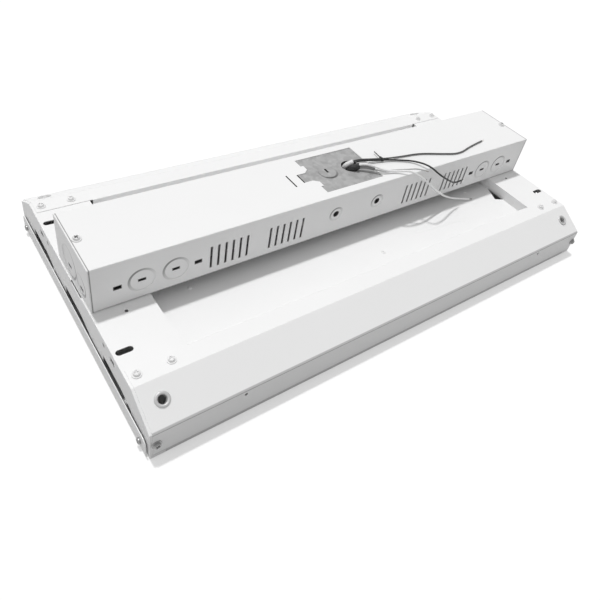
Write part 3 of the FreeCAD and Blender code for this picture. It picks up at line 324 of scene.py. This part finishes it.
def wall_lines(tree):
    """Painted shade in the seams at both ends and at the foot, and round knockouts, slots and
    louvres.
    """
    x, _, z = tree.axes()
    low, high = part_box("housing_cover")
    seams = (END_SEAM_SHADE * (high[0] - abs(x)).fade(SEAM / 2, SEAM)
             + FOOT_SEAM_SHADE * (z - low[2]).fade(SEAM / 2, 1.5 * SEAM))
    ring_and_slot_shade = disc_shade_rings(tree, x, z, WALL_DISCS, DISC_SHADE_TOWARDS) + slot_shade_rims(abs(x), z, WALL_SLOTS)
    return seams + ring_and_slot_shade + LOUVRE_SHADE * louvre_shade_rims(abs(x), z)


def cap_lines(tree):
    """Painted shade round knockouts and their slots; the far cap is the near one turned round."""
    x, y, z = tree.axes()
    side = 1.0 - 2.0 * (x > 0.0)
    return disc_shade_rings(tree, y * side, z, END_DISCS, (-1.0, 0.0)) + slot_shade_rims(y * side, z, END_SLOTS)


coat(("housing_cover",), powder_coat("powder_coat_cover", shadow=wall_lines))
coat(("housing_end_left", "housing_end_right"), powder_coat("powder_coat_caps", shadow=cap_lines))


# The wings are the same coated sheet, folded lengthwise. Painted shade draws fine darker lines
# along the sharp fold between slope and skirt and along the cut lower edge.
SKIRT_TOP = 0.0351
FOLD_LINE, FOLD_SHADE, EDGE_SHADE = 0.0007, 0.6, 0.4


def wing_lines(tree):
    """Painted shade: a soft line along the fold and another along the lower edge."""
    height = tree.axes()[2]
    fold = abs(height - SKIRT_TOP).fade(FOLD_LINE, 2 * FOLD_LINE)
    lower_edge = (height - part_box("wing_front")[0][2]).fade(FOLD_LINE, 2 * FOLD_LINE)
    return FOLD_SHADE * fold + EDGE_SHADE * lower_edge


coat(("wing_front", "wing_rear"), powder_coat("powder_coat_wings", shadow=wing_lines))


# The tray between the wings is the same coated sheet, still under a clear film against
# scratches that has lifted in a few thin wrinkles in front of the housing.
WRINKLE_MIDDLE = (0.127, -0.071)
WRINKLE_REACH = (0.09, 0.022)
WRINKLE_SCALE, WRINKLE_STRETCH = 26, (0.35, 1.6, 1)
WRINKLE_HEIGHT, WRINKLE_WIDTH, WRINKLE_FADE = 0.0003, 0.035, (0.7, 1.4)


def film_wrinkles(tree):
    """Thin ridges along the middle value of a stretched noise, fading out round one place."""
    ridges = abs(tree.noise(WRINKLE_SCALE, 2, stretch=WRINKLE_STRETCH) - 0.5).fade(0.0, WRINKLE_WIDTH)
    away = 0.0
    for axis, middle, reach in zip(tree.axes(), WRINKLE_MIDDLE, WRINKLE_REACH):
        away = away + abs(axis - middle) / reach
    return WRINKLE_HEIGHT * ridges * away.fade(*WRINKLE_FADE)


coat(("centre_tray",), powder_coat("powder_coat_tray", relief=film_wrinkles))


# Access plate and base channel are bare galvanised steel: a dull light grey with faint
# crystals of zinc, and painted shadow round the near edge of the disc pressed up from the plate.
PLATE_DISC, PLATE_SHADE_TOWARDS, PLATE_DISC_SHADE = (-0.0167, 0.0, 0.0111), (0.2, -1.0), 0.7
CRYSTAL_SCALE, STREAK_SCALE, GRIT_SCALE = 240, 70, 500


def galvanised(name, level):
    """Zinc whose tone is half a cell pattern and half a soft noise, with painted shadow round the
    raised disc.
    """
    material = bpy.data.materials.new(name)
    tree = Tree(material)
    crystal = tree.node("TexVoronoi", inputs={"Vector": tree.place(), "Scale": CRYSTAL_SCALE},
                        output="Color")
    tone = tree.node("SeparateColor", inputs={"Color": crystal})
    streak = tree.noise(STREAK_SCALE, 4)
    x, y, _ = tree.axes()
    zinc = tree.mix(0.5 * tone + 0.5 * streak, grey(level * 0.80), grey(level * 1.16))
    # Painted shadow round the raised disc.
    cut = PLATE_DISC_SHADE * disc_shade_rings(tree, x, y, (PLATE_DISC,), PLATE_SHADE_TOWARDS)
    tree.set("Principled BSDF", Metallic=0.5, Roughness=0.44 + 0.14 * tone,
             Base_Color=tree.mix(cut, zinc, grey(level * 0.2)),
             Normal=tree.bump(tree.noise(GRIT_SCALE, 3), 0.00003, 0.5))
    return material


coat(("access_plate", "housing_base"), galvanised("galvanised_sheet", 0.45))


# Inside the housing stand two LED drivers: pressed metal cases with a fine brushed grain and
# a screwed foot at either end.
BRUSH_SCALE, BLOTCH_SCALE = 900, 45


def brushed(name, level, roughness, metallic, stretch):
    """Metal whose grain is a noise drawn out along the axis that is stretched least."""
    material = bpy.data.materials.new(name)
    tree = Tree(material)
    grain = tree.noise(BRUSH_SCALE, 3, 0.6, stretch)
    blotch = tree.noise(BLOTCH_SCALE, 3)
    tree.set("Principled BSDF", Metallic=metallic, Roughness=roughness + 0.12 * blotch,
             Base_Color=tree.mix(0.5 * grain + 0.5 * blotch, grey(level * 0.85), grey(level * 1.1)),
             Normal=tree.bump(grain, 0.00002, 0.5))
    return material


coat(("driver_left", "driver_right"), brushed("driver_case", 0.7, 0.34, 0.3, (0.05, 1, 1)))


# Under the tray lie four LED boards in white solder mask. Their packages are small pads of
# yellow phosphor, and a frosted lens closes the chamber below them.
PHOSPHOR_TINT = (1, 0.84, 0.28)


def speckled(name, level, roughness, scale, depth, tint=(1, 1, 1), spread=0.05, shadow=None):
    """Plastic or lacquer whose tone, give or take the spread, is half a fine grain and half a
    coarse one; shadow is a share by which it darkens."""
    material = bpy.data.materials.new(name)
    tree = Tree(material)
    grain = tree.noise(scale, 3)
    broad = tree.noise(scale / 20, 2)
    colour = tree.mix(0.5 * grain + 0.5 * broad, grey(level * (1 - spread), tint),
                      grey(level * (1 + spread), tint))
    if shadow:
        colour = tree.mix(shadow(tree), colour, grey(level * 0.1))
    tree.set("Principled BSDF", Base_Color=colour, Roughness=roughness + 0.1 * grain,
             Normal=tree.bump(grain, depth, 0.5))
    return material


coat([f"led_board_{number}" for number in range(1, 5)],
     speckled("solder_mask_white", 0.84, 0.28, 600, 0.00001))
coat(("led_packages",), speckled("led_phosphor", 0.72, 0.3, 1200, 0.00002, PHOSPHOR_TINT, 0.08))
coat(("diffuser_lens",), speckled("frosted_lens", 0.88, 0.5, 1500, 0.00003, spread=0.03))


# Screws: cross-recessed pan heads on a washer and a threaded shank. White ones hold wings and
# cover down, zinc-plated ones the skirts, the lens frame and the parts inside the housing.
SCREW_SIDES, RINGS_PER_TURN, TOP_RINGS = 48, 6, 22
SHANK, THREAD, PITCH, SHANK_TOP = 0.0020, 0.00025, 0.0014, 0.0004
WASHER_RIM, WASHER, WASHER_EDGE = 0.0045, 0.0009, 0.0002
HEAD_RIM, HEAD, SCREW_LENGTH = 0.0031, 0.0022, 0.008
HEAD_OUTLINE = ((1.0, 0.55), (0.97, 0.78), (0.89, 0.93))
TOP_OUTER, TOP_INNER, TOP_DROP = 0.8, 0.02, 0.00002
SLOT_HALF_WIDTH, SLOT_HALF_LENGTH, SLOT_DEPTH, SLOT_DISH = 0.00070, 0.0020, 0.0014, 0.35
SLOT_SIDE, SLOT_END = 0.0003, 0.0004


def rings_of(radius, height):
    """Grid of rings about Z, one for each radius and height; both may also vary round the ring."""
    turn = np.linspace(0, 2 * np.pi, SCREW_SIDES, endpoint=False)[None, :]
    radius, height, turn = np.broadcast_arrays(radius, height, turn)
    return np.stack([radius * np.cos(turn), radius * np.sin(turn), height], axis=-1)


def smooth_step(value, edge, width):
    """0 well below the edge and 1 well above it, with an even blend of the given width."""
    share = np.clip((value - edge) / width + 0.5, 0, 1)
    return share * share * (3 - 2 * share)


def screw_skin(washer=True):
    """Shank whose radius follows a helix, washer and head outline, then a top whose height falls
    inside a cross: two crossed bars, each soft at its edges and shallower towards its ends."""
    turn = np.linspace(0, 1, SCREW_SIDES, endpoint=False)[None, :]
    rings = int(SCREW_LENGTH / PITCH * RINGS_PER_TURN)
    level = np.linspace(-SCREW_LENGTH, -SHANK_TOP, rings)[:, None]
    ridge = np.abs(((level / PITCH - turn) % 1) - 0.5) * 2
    point = np.clip((level + SCREW_LENGTH) / PITCH, 0.2, 1)
    shank = rings_of(SHANK - THREAD * ridge * point, level)

    seat = WASHER if washer else 0.0
    rim = [(SHANK, 0.0)]
    if washer:
        rim += [(WASHER_RIM - WASHER_EDGE / 2, 0.0), (WASHER_RIM, WASHER_EDGE / 2),
                (WASHER_RIM, WASHER - WASHER_EDGE), (WASHER_RIM - WASHER_EDGE, WASHER),
                (HEAD_RIM + WASHER_EDGE, WASHER)]
    rim += [(HEAD_RIM, seat + WASHER_EDGE)]
    rim += [(HEAD_RIM * outward, seat + HEAD * upward) for outward, upward in HEAD_OUTLINE]
    outline = rings_of(*np.array(rim).T[:, :, None])

    radius = np.linspace(HEAD_RIM * TOP_OUTER, HEAD_RIM * TOP_INNER, TOP_RINGS)[:, None]
    x = np.abs(radius * np.cos(2 * np.pi * turn))
    y = np.abs(radius * np.sin(2 * np.pi * turn))
    bars = [(1 - smooth_step(across, SLOT_HALF_WIDTH, SLOT_SIDE))
            * (1 - smooth_step(along, SLOT_HALF_LENGTH, SLOT_END))
            for across, along in ((x, y), (y, x))]
    dish = np.clip(1 - SLOT_DISH * (radius / SLOT_HALF_LENGTH) ** 2, 0, 1)
    sunk = np.maximum(*bars) * dish
    top = rings_of(radius, seat + HEAD - TOP_DROP - SLOT_DEPTH * sunk)
    skin = np.concatenate([shank, outline, top])
    depth = np.zeros(skin.shape[:2])
    depth[-TOP_RINGS:] = sunk
    return skin, depth


def set_at(place, up, spin=0.0):
    """Matrix that puts a piece's foot at a place, its +Z along up, after a turn about that axis."""
    turn = Vector(up).to_track_quat("Z", "Y").to_matrix().to_4x4() @ Matrix.Rotation(spin, 4, "Z")
    return np.array(Matrix.Translation(place) @ turn)


SHARP_FROM = 38
IN_PLACE = [np.eye(4)]


def add_piece(name, skin, matrices, material, slot, replaced, closed=False, depth=None):
    """One object of a grid of rings set at every matrix. The rings close on themselves; the grid
    closes from its last ring to its first, or has a flat cap at both ends. Depth, a share for
    each point, is kept in the UV map."""
    rings, sides = skin.shape[:2]
    index = np.arange(rings * sides).reshape(rings, sides)
    rows = np.concatenate([index, index[:1]]) if closed else index
    beside = np.roll(rows, -1, axis=1)
    quads = np.stack([rows[:-1], beside[:-1], beside[1:], rows[1:]], axis=-1).reshape(-1, 4)
    points, faces = [], []
    for matrix in matrices:
        start = len(points) * rings * sides
        points.append(skin.reshape(-1, 3) @ matrix[:3, :3].T + matrix[:3, 3])
        faces += (quads + start).tolist()
        if not closed:
            faces += [(index[0][::-1] + start).tolist(), (index[-1] + start).tolist()]
    mesh = bpy.data.meshes.new(name)
    mesh.from_pydata(np.concatenate(points).tolist(), [], faces)
    mesh.polygons.foreach_set("use_smooth", [True] * len(faces))
    mesh.set_sharp_from_angle(angle=math.radians(SHARP_FROM))
    mesh.materials.append(material)
    if depth is not None:
        corners = np.empty(len(mesh.loops), dtype=np.int32)
        mesh.loops.foreach_get("vertex_index", corners)
        share = np.tile(depth.ravel(), len(matrices))[corners]
        layer = mesh.uv_layers.new(name="depth")
        layer.uv.foreach_set("vector", np.repeat(share, 2))
    piece = bpy.data.objects.new(name, mesh)
    bpy.context.scene.collection.objects.link(piece)
    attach(piece, "root")
    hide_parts(replaced)
    return piece


def quarters(x, y):
    """Both signs of x and y, each with a number that turns one screw's recess unlike the next."""
    return [(number, x_side, y_side, x_side * x, y_side * y) for number, (x_side, y_side) in
            enumerate(((-1, -1), (-1, 1), (1, -1), (1, 1)))]


def recess_shade(tree):
    """Painted shade in a screw's cross recess; the UV map holds the share of its depth."""
    return tree.node("SeparateXYZ", inputs={0: tree.node("UVMap")})


PAINTED = speckled("painted_fastener", 0.80, 0.36, 900, 0.00001)
# The cover's screws get painted shade in their cross recesses.
PAINTED_COVER = speckled("cover_fastener", 0.78, 0.36, 900, 0.00001, shadow=recess_shade)
ZINC = brushed("zinc_plate", 0.40, 0.38, 0.7, (1, 1, 1))
UPWARDS = (0, 0, 1)
SCREW_STEP = 0.0308
WASHER_SCREW, WASHER_SCREW_DEPTH = screw_skin()
PLAIN_SCREW, _ = screw_skin(washer=False)

x, y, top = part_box("wing_screws")[1]
foot = top - WASHER - HEAD
add_piece("wing_screw_set", WASHER_SCREW,
          [set_at((near_x - x_side * step, near_y, foot), UPWARDS, 1.9 * number + 60 * step)
           for step in (0, SCREW_STEP)
           for number, x_side, _, near_x, near_y in quarters(x - WASHER_RIM, y - WASHER_RIM)],
          PAINTED, "white_fastener", "wing_screws")

x, _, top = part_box("cover_screws")[1]
foot = top - WASHER - HEAD
add_piece("cover_screw_set", WASHER_SCREW,
          [set_at((side * (x - WASHER_RIM), 0, foot), UPWARDS, side) for side in (-1, 1)],
          PAINTED_COVER, "white_fastener", "cover_screws", depth=WASHER_SCREW_DEPTH)

(_, _, base), (x, y, top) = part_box("skirt_screws")
add_piece("skirt_screw_set", WASHER_SCREW,
          [set_at((near_x, near_y, (base + top) / 2), (0, y_side, 0), 1.1 + number)
           for number, _, y_side, near_x, near_y in quarters(x - WASHER_RIM, y - WASHER - HEAD)],
          ZINC, "zinc_fastener", "skirt_screws")

(_, _, base), (x, y, top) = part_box("lens_frame_screws")
add_piece("frame_screw_set", PLAIN_SCREW,
          [set_at((near_x, near_y, (base + top) / 2), (x_side, 0, 0), 0.4 + number)
           for number, x_side, _, near_x, near_y in quarters(x - HEAD, y - HEAD_RIM)],
          ZINC, "zinc_fastener", "lens_frame_screws")
coat(("driver_screws", "housing_bolts", "housing_nuts"), ZINC)


# V-hook eyelets: turned zinc-plated bushes pressed into the slopes. Their collars are rolled
# over.
EYELET_BORE, EYELET_BARREL, EYELET_RIM = 0.0040, 0.0052, 0.0070
EYELET_CROWN, EYELET_SEAT, EYELET_DEPTH, EYELET_FLARE = 0.0013, 0.0002, 0.0060, 0.0003
MOUNT_DEPTH = 0.0028


def eyelet_skin():
    """Barrel, flat seat, half an ellipse over the collar, and a bore that flares at both ends."""
    sweep = np.linspace(0, np.pi, 15)
    middle, half = (EYELET_RIM + EYELET_BORE) / 2, (EYELET_RIM - EYELET_BORE) / 2
    crown = np.stack([middle + half * np.cos(sweep),
                      EYELET_SEAT + (EYELET_CROWN - EYELET_SEAT) * np.sin(sweep)], axis=1)
    barrel = [(EYELET_BARREL, EYELET_FLARE - EYELET_DEPTH), (EYELET_BARREL, 0.0), (EYELET_RIM, 0.0)]
    bore = [(EYELET_BORE, EYELET_FLARE - EYELET_DEPTH), (EYELET_BORE + EYELET_FLARE, -EYELET_DEPTH),
            (EYELET_BARREL - EYELET_FLARE, -EYELET_DEPTH)]
    profile = np.array(barrel + crown.tolist() + bore)
    return rings_of(profile[:, :1], profile[:, 1:])


hooks = [mount for mount in frame["record"]["mounts"] if mount["name"].startswith("hook_")]
add_piece("hook_eyelet_set", eyelet_skin(),
          [set_at(Vector(mount["pos_m"]) + MOUNT_DEPTH * Vector(mount["axis"]), mount["axis"])
           for mount in hooks],
          brushed("eyelet_zinc", 0.62, 0.38, 0.3, (1, 1, 0.2)), "zinc_fastener", "hook_eyelets",
          closed=True)


# Six blind rivets hold boards and tray together: a low domed head with the broken end of the
# mandrel in its middle, sprayed over with the tray.
RIVET_RIM, RIVET_HIGH, RIVET_HOLE = 0.0026, 0.0011, 0.0008
RIVET_SHANK, RIVET_GRIP, RIVET_FOOT, FOOT_HIGH = 0.0014, 0.0028, 0.0021, 0.0004
RIVET_FALL, DOME_RINGS, NEARLY_CLOSED = 0.8, 10, 0.0001
OUTER_RIVET_X = 0.01518


def rivet_skin():
    """Flared foot and shank, a head whose height falls with the square of the radius, and a
    shallow hole with a level floor."""
    radius = np.linspace(RIVET_RIM, RIVET_HOLE, DOME_RINGS)
    dome = np.stack([radius, RIVET_HIGH * (1 - RIVET_FALL * (radius / RIVET_RIM) ** 2)], axis=1)
    foot = [(2 * NEARLY_CLOSED, -RIVET_GRIP), (RIVET_FOOT, -RIVET_GRIP),
            (RIVET_FOOT, FOOT_HIGH - RIVET_GRIP), (RIVET_SHANK, FOOT_HIGH - RIVET_GRIP),
            (RIVET_SHANK, 0.0), (RIVET_RIM, 0.0)]
    hole = [(RIVET_HOLE * 0.9, RIVET_HIGH * 0.5), (NEARLY_CLOSED, RIVET_HIGH * 0.45)]
    profile = np.array(foot + dome.tolist() + hole)
    return rings_of(profile[:, :1], profile[:, 1:])


rivet_end, _, rivet_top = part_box("tray_rivets")[1]
inner_row, outer_row = ((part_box(board)[0][1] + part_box(board)[1][1]) / 2
                        for board in ("led_board_1", "led_board_2"))
rivet_places = [(x_side * (rivet_end - RIVET_RIM), y_side * inner_row)
                for x_side in (-1, 1) for y_side in (-1, 1)]
rivet_places += [(OUTER_RIVET_X, y_side * outer_row) for y_side in (-1, 1)]
add_piece("tray_rivet_set", rivet_skin(),
          [set_at((x, y, rivet_top - RIVET_HIGH), UPWARDS) for x, y in rivet_places],
          speckled("painted_rivet", 0.82, 0.36, 900, 0.00001), "white_fastener", "tray_rivets")


# Sleeves: a pale smooth one and a wider dark one come up out of the open knockout, and a thin
# dark one goes on from the dark one's mouth. Each is a soft tube with a rolled open end, given
# by its diameter, wall, share of creasing and route in millimetres.
SLEEVES = {
    "sleeve_pale": (0.0060, 0.00055, 0.060, (
        (9.2, 4.6, 95), (10.6, 4, 104.6), (12.6, 1.1, 110.4), (18.6, -0.4, 112.4))),
    "sleeve_dark": (0.0080, 0.00060, 0.180, (
        (12.4, -3.6, 96), (12.8, -4, 104.5), (14.3, -7.4, 110.6), (20.3, -10.4, 112.6))),
    "sleeve_thin": (0.0036, 0.00045, 0.030, (
        (20.7, -10.6, 111.1), (26.7, -13.6, 113.1), (36, -20.4, 111))),
}
SLEEVE_SIDES, LIP_RINGS, MOUTH_DEPTH = 40, 8, 0.0006
ROUTE_STEPS = 12


def route_points(name, route):
    """Points along a smooth spline whose control points are the route, given in millimetres."""
    curve = bpy.data.curves.new(name, "CURVE")
    curve.dimensions = "3D"
    spline = curve.splines.new("NURBS")
    spline.points.add(len(route) - 1)
    for point, place in zip(spline.points, route):
        point.co = (*(value / 1000 for value in place), 1)
    spline.order_u = 3
    spline.use_endpoint_u = True
    spline.resolution_u = ROUTE_STEPS
    holder = bpy.data.objects.new(name, curve)
    mesh = bpy.data.meshes.new_from_object(holder)
    places = np.empty(len(mesh.vertices) * 3)
    mesh.vertices.foreach_get("co", places)
    bpy.data.objects.remove(holder)
    bpy.data.meshes.remove(mesh)
    return places.reshape(-1, 3)


def unit(vector):
    """The same direction at a length of one; an array holds a vector in each row."""
    return vector / np.linalg.norm(vector, axis=-1, keepdims=True)


def lengths_along(line):
    """Distance from the line's start to each of its points."""
    return np.concatenate([[0], np.cumsum(np.linalg.norm(np.diff(line, axis=0), axis=1))])


def swept(line, radii, turn, level):
    """Rings of given radii round a line's points, square to it; level is a direction that the
    line never runs along."""
    heading = unit(np.gradient(line, axis=0))
    side = unit(np.cross(heading, level))
    over = np.cross(heading, side)
    return line[:, None] + radii[..., None] * (np.cos(turn)[:, None] * side[:, None]
                                               + np.sin(turn)[:, None] * over[:, None])


def sleeve_skin(line, diameter, wall, crease):
    """Rings whose radius swells and sinks with a few sines round and along by a share called
    crease, then half a circle over the wall and a short mouth that ends in a level floor."""
    turn = np.linspace(0, 2 * np.pi, SLEEVE_SIDES, endpoint=False)
    run = lengths_along(line)[:, None]
    dents = np.sin(3 * turn + 900 * run) + 0.7 * np.sin(5 * turn - 1500 * run + 1.3)
    outer = diameter / 2 * (1 - crease * (0.5 + 0.3 * dents))
    body = swept(line, outer, turn, (0.0, 1.0, 0.0))
    heading = unit(line[-1] - line[-2])
    spokes = body[-1] - line[-1]
    lip = np.linspace(0, np.pi, LIP_RINGS)[1:, None, None]
    inner = 1 - 2 * wall / diameter
    inwards = inner + (1 - inner) / 2 * (1 + np.cos(lip))
    rounded = spokes * inwards + heading * wall / 2 * np.sin(lip)
    mouth = spokes * inner * np.array([1, 0.5, 0.02])[:, None, None] - heading * MOUTH_DEPTH
    return np.concatenate([body, line[-1] + rounded, line[-1] + mouth])


SLEEVE_LOOKS = {
    "sleeve_pale": (speckled("pale_sleeving", 0.78, 0.45, 500, 0.00003, spread=0.1),
                    "white_insulation"),
    "sleeve_dark": (speckled("dark_sleeving", 0.03, 0.6, 500, 0.00006, spread=0.5),
                    "dark_sleeving"),
    "sleeve_thin": (speckled("thin_sleeving", 0.26, 0.5, 500, 0.00004, spread=0.3),
                    "dark_sleeving"),
}
for sleeve_name, (diameter, wall, crease, route) in SLEEVES.items():
    skin = sleeve_skin(route_points(sleeve_name, route), diameter, wall, crease)
    add_piece(sleeve_name + "_tube", skin, IN_PLACE,
                                     *SLEEVE_LOOKS[sleeve_name], sleeve_name)


# A thin nylon tie holds the two dark leads side by side: a band round both, a small moulded
# head behind them and a level tail, turned nearly on edge, whose end is cut off short.
BETWEEN_LEADS = np.array((0.05625, -0.0063, 0.11085))
LEADS_RUN, LEADS_APART = np.array((20, -4, -1.5)), np.array((0.5, 2.6, 0))
TIE_ALONG = 0.0036
TIE_SIDES, LOOP_STEPS = 24, 40
LOOP_HALF_WIDTH, LOOP_HALF_HEIGHT = 0.0028, 0.0015
TIE_HALF_WIDTH, TIE_HALF_BAND = 0.0010, 0.0003
HEAD_HALF_WIDTH, HEAD_HALF_HEIGHT, HEAD_LENGTH, HEAD_OVERLAP = 0.0013, 0.00117, 0.0022, 0.0002
TAIL_LENGTH, TAIL_TWIST, TAIL_LEAN = 0.0135, 1.1, -0.12
BAR_PLACES, BAR_SHARES = np.array((0.0, 0.06, 0.5, 0.94, 1.0)), np.array((0.7, 1.0, 1.0, 1.0, 0.7))


def bar_radii(turn, half_width, half_height):
    """Radius at each angle of a rectangle with rounded corners: a superellipse of power six."""
    wide, high = np.abs(np.cos(turn) / half_width), np.abs(np.sin(turn) / half_height)
    return (wide ** 6 + high ** 6) ** (-1 / 6)


def band_skin(middle, along, across, up):
    """A closed band whose middle follows a superellipse of power three round both leads, with
    its cross-section square to that line."""
    turn = np.linspace(0, 2 * np.pi, TIE_SIDES, endpoint=False)[None, :, None]
    angle = np.linspace(0, 2 * np.pi, LOOP_STEPS, endpoint=False)[:, None, None]
    wide, high = (np.sign(way) * np.abs(way) ** (2 / 3) for way in (np.cos(angle), np.sin(angle)))
    path = middle + LOOP_HALF_WIDTH * wide * across + LOOP_HALF_HEIGHT * high * up
    outward = unit(wide * np.abs(wide) / LOOP_HALF_WIDTH * across
                   + high * np.abs(high) / LOOP_HALF_HEIGHT * up)
    radius = bar_radii(turn, TIE_HALF_WIDTH, TIE_HALF_BAND)
    return path + radius * (np.cos(turn) * along + np.sin(turn) * outward)


def bar_skin(start, direction, length, half_width, half_height, level, twist=0.0):
    """A straight bar with rounded corners, drawn in a little at both ends."""
    turn = np.linspace(0, 2 * np.pi, TIE_SIDES, endpoint=False)
    line = start + length * BAR_PLACES[:, None] * direction
    radii = BAR_SHARES[:, None] * bar_radii(turn - twist, half_width, half_height)
    return swept(line, radii, turn, level)


along = unit(LEADS_RUN)
up = unit(np.cross(along, LEADS_APART))
across = np.cross(up, along)
middle = BETWEEN_LEADS + TIE_ALONG * along
head = middle + (LOOP_HALF_WIDTH - HEAD_OVERLAP) * across
tail = head + HEAD_LENGTH / 2 * across
tail_way = unit(across + TAIL_LEAN * along)
NYLON = speckled("nylon_black", 0.04, 0.4, 700, 0.00001, spread=0.2)
tie = [
    add_piece("tie_band", band_skin(middle, along, across, up),
              IN_PLACE, NYLON, "dark_sleeving", "cable_tie", closed=True),
    add_piece("tie_head", bar_skin(head, across, HEAD_LENGTH, HEAD_HALF_WIDTH, HEAD_HALF_HEIGHT, up),
              IN_PLACE, NYLON, "dark_sleeving", "cable_tie"),
    add_piece("tie_tail", bar_skin(tail, tail_way, TAIL_LENGTH, TIE_HALF_WIDTH, TIE_HALF_BAND, up,
                                   TAIL_TWIST),
              IN_PLACE, NYLON, "dark_sleeving", "cable_tie"),
]


# Leads: stranded copper in smooth PVC, stiff enough to keep the bends they were given. Each
# starts in the mouth of its sleeve; its last millimetres are stripped to the tinned strands.
# LEAD_ROUTES holds diameters and routes in millimetres, LEAD_LOOKS tones of coat and strands.
LEAD_ROUTES = {
    "lead_black": (0.0021, (
        (18.255, -1.78, 112.4), (24.255, -3.28, 114.4), (34, -5, 113.6), (46, -5.6, 111.6),
        (66, -9.6, 110.1), (82, -16, 109.6), (98, -25, 110.2), (105, -43.5, 113.4),
        (111, -59, 107.5), (131, -60, 95), (155, -54.5, 80.8), (172.5, -51.8, 80.6))),
    "lead_dark_grey": (0.0019, (
        (18.945, 0.98, 112.4), (24.945, -0.52, 114.4), (34.4, -2.2, 113.6), (46.5, -3, 111.6),
        (66.5, -7, 110.1), (88, -9.8, 109.4), (118, -13, 109.2), (148, -25.6, 109.3),
        (172, -34, 109.2), (203, -25.4, 109.3), (233, -21.5, 109.2))),
    "lead_white": (0.0026, (
        (19.82, -10.16, 114.4), (25.82, -13.16, 116.4), (34.5, -20.5, 115.6), (42, -27.5, 113.2),
        (52, -31, 110.8), (63, -34.4, 110), (74.5, -44.6, 114.3), (97, -52, 98.5),
        (125, -52.5, 75), (149, -52, 59.5), (176, -50.5, 47.5), (202, -57.5, 44.2))),
    "lead_grey": (0.0018, (
        (36, -20.4, 111), (44.37, -26.52, 109.11), (60, -29.4, 109.4), (76, -35.6, 110),
        (87, -43, 113.4), (98.5, -49.5, 110))),
}
LEAD_LOOKS = {
    "lead_black": (0.012, 0.10, "black_insulation"),
    "lead_dark_grey": (0.10, 0.90, "dark_grey_insulation"),
    "lead_white": (0.88, 0.25, "white_insulation"),
    "lead_grey": (0.50, 0.35, "grey_insulation"),
}
TINNED = (1, 0.95, 0.9)
STRIPPED, STRAND_SHARE = 0.005, 0.55
STRANDS, STRAND_PITCH, STRAND_DIP = 6, 0.006, 0.16
LEAD_SIDES, STRAND_RINGS, SHEEN_SCALE = 24, 14, 400
EDGE_PLACES, EDGE_SHARES = np.array((-0.15, 0.0, 0.08, 0.1)), (1.0, 0.9, 0.75, STRAND_SHARE)


def insulation(name, level, strand_level, end):
    """Satin PVC up to the stripped end, and dull tinned copper from there on."""
    material = bpy.data.materials.new(name)
    tree = Tree(material)
    from_end = tree.node("VectorMath", {"operation": "DISTANCE"}, {0: tree.place(), 1: end},
                         output="Value")
    bare = from_end < STRIPPED
    sheen = tree.noise(SHEEN_SCALE, 3)
    plastic = tree.mix(sheen, grey(level * 0.92), grey(level * 1.06))
    strands = tree.mix(sheen, grey(strand_level * 0.8, TINNED), grey(strand_level * 1.2, TINNED))
    tree.set("Principled BSDF", Base_Color=tree.mix(bare, plastic, strands), Metallic=bare * 0.5,
             Roughness=0.36 + 0.1 * sheen, Normal=tree.bump(sheen, 0.00002, 0.5))
    return material


def lead_skin(line, radius):
    """A round tube that ends in a soft edge, and a thinner bundle whose radius rises and falls
    round it, once for each strand, while it turns once in every pitch."""
    run = lengths_along(line)
    cut = run[-1] - STRIPPED
    coated = run[run < cut - radius]
    strands = np.linspace(cut + radius, run[-1], STRAND_RINGS)
    places = np.concatenate([coated, cut + EDGE_PLACES * radius, strands])
    shares = np.concatenate([np.ones(len(coated)), EDGE_SHARES, np.full(STRAND_RINGS, STRAND_SHARE)])
    turn = np.linspace(0, 2 * np.pi, LEAD_SIDES, endpoint=False)
    twist = 2 * np.pi * places[:, None] / STRAND_PITCH
    lobes = 1 - STRAND_DIP * (1 + np.cos(STRANDS * (turn - twist)))
    radii = radius * shares[:, None] * np.where(shares[:, None] > STRAND_SHARE, 1.0, lobes)
    points = np.stack([np.interp(places, run, line[:, axis]) for axis in range(3)], axis=1)
    return swept(points, radii, turn, (0.0, 0.0, 1.0))


for lead_name, (diameter, route) in LEAD_ROUTES.items():
    level, strand_level, slot = LEAD_LOOKS[lead_name]
    line = route_points(lead_name, route)
    coating = insulation(lead_name + "_insulation", level, strand_level, tuple(line[-1]))
    lead = add_piece(lead_name + "_cord", lead_skin(line, diameter / 2), IN_PLACE, coating, slot,
                     lead_name)
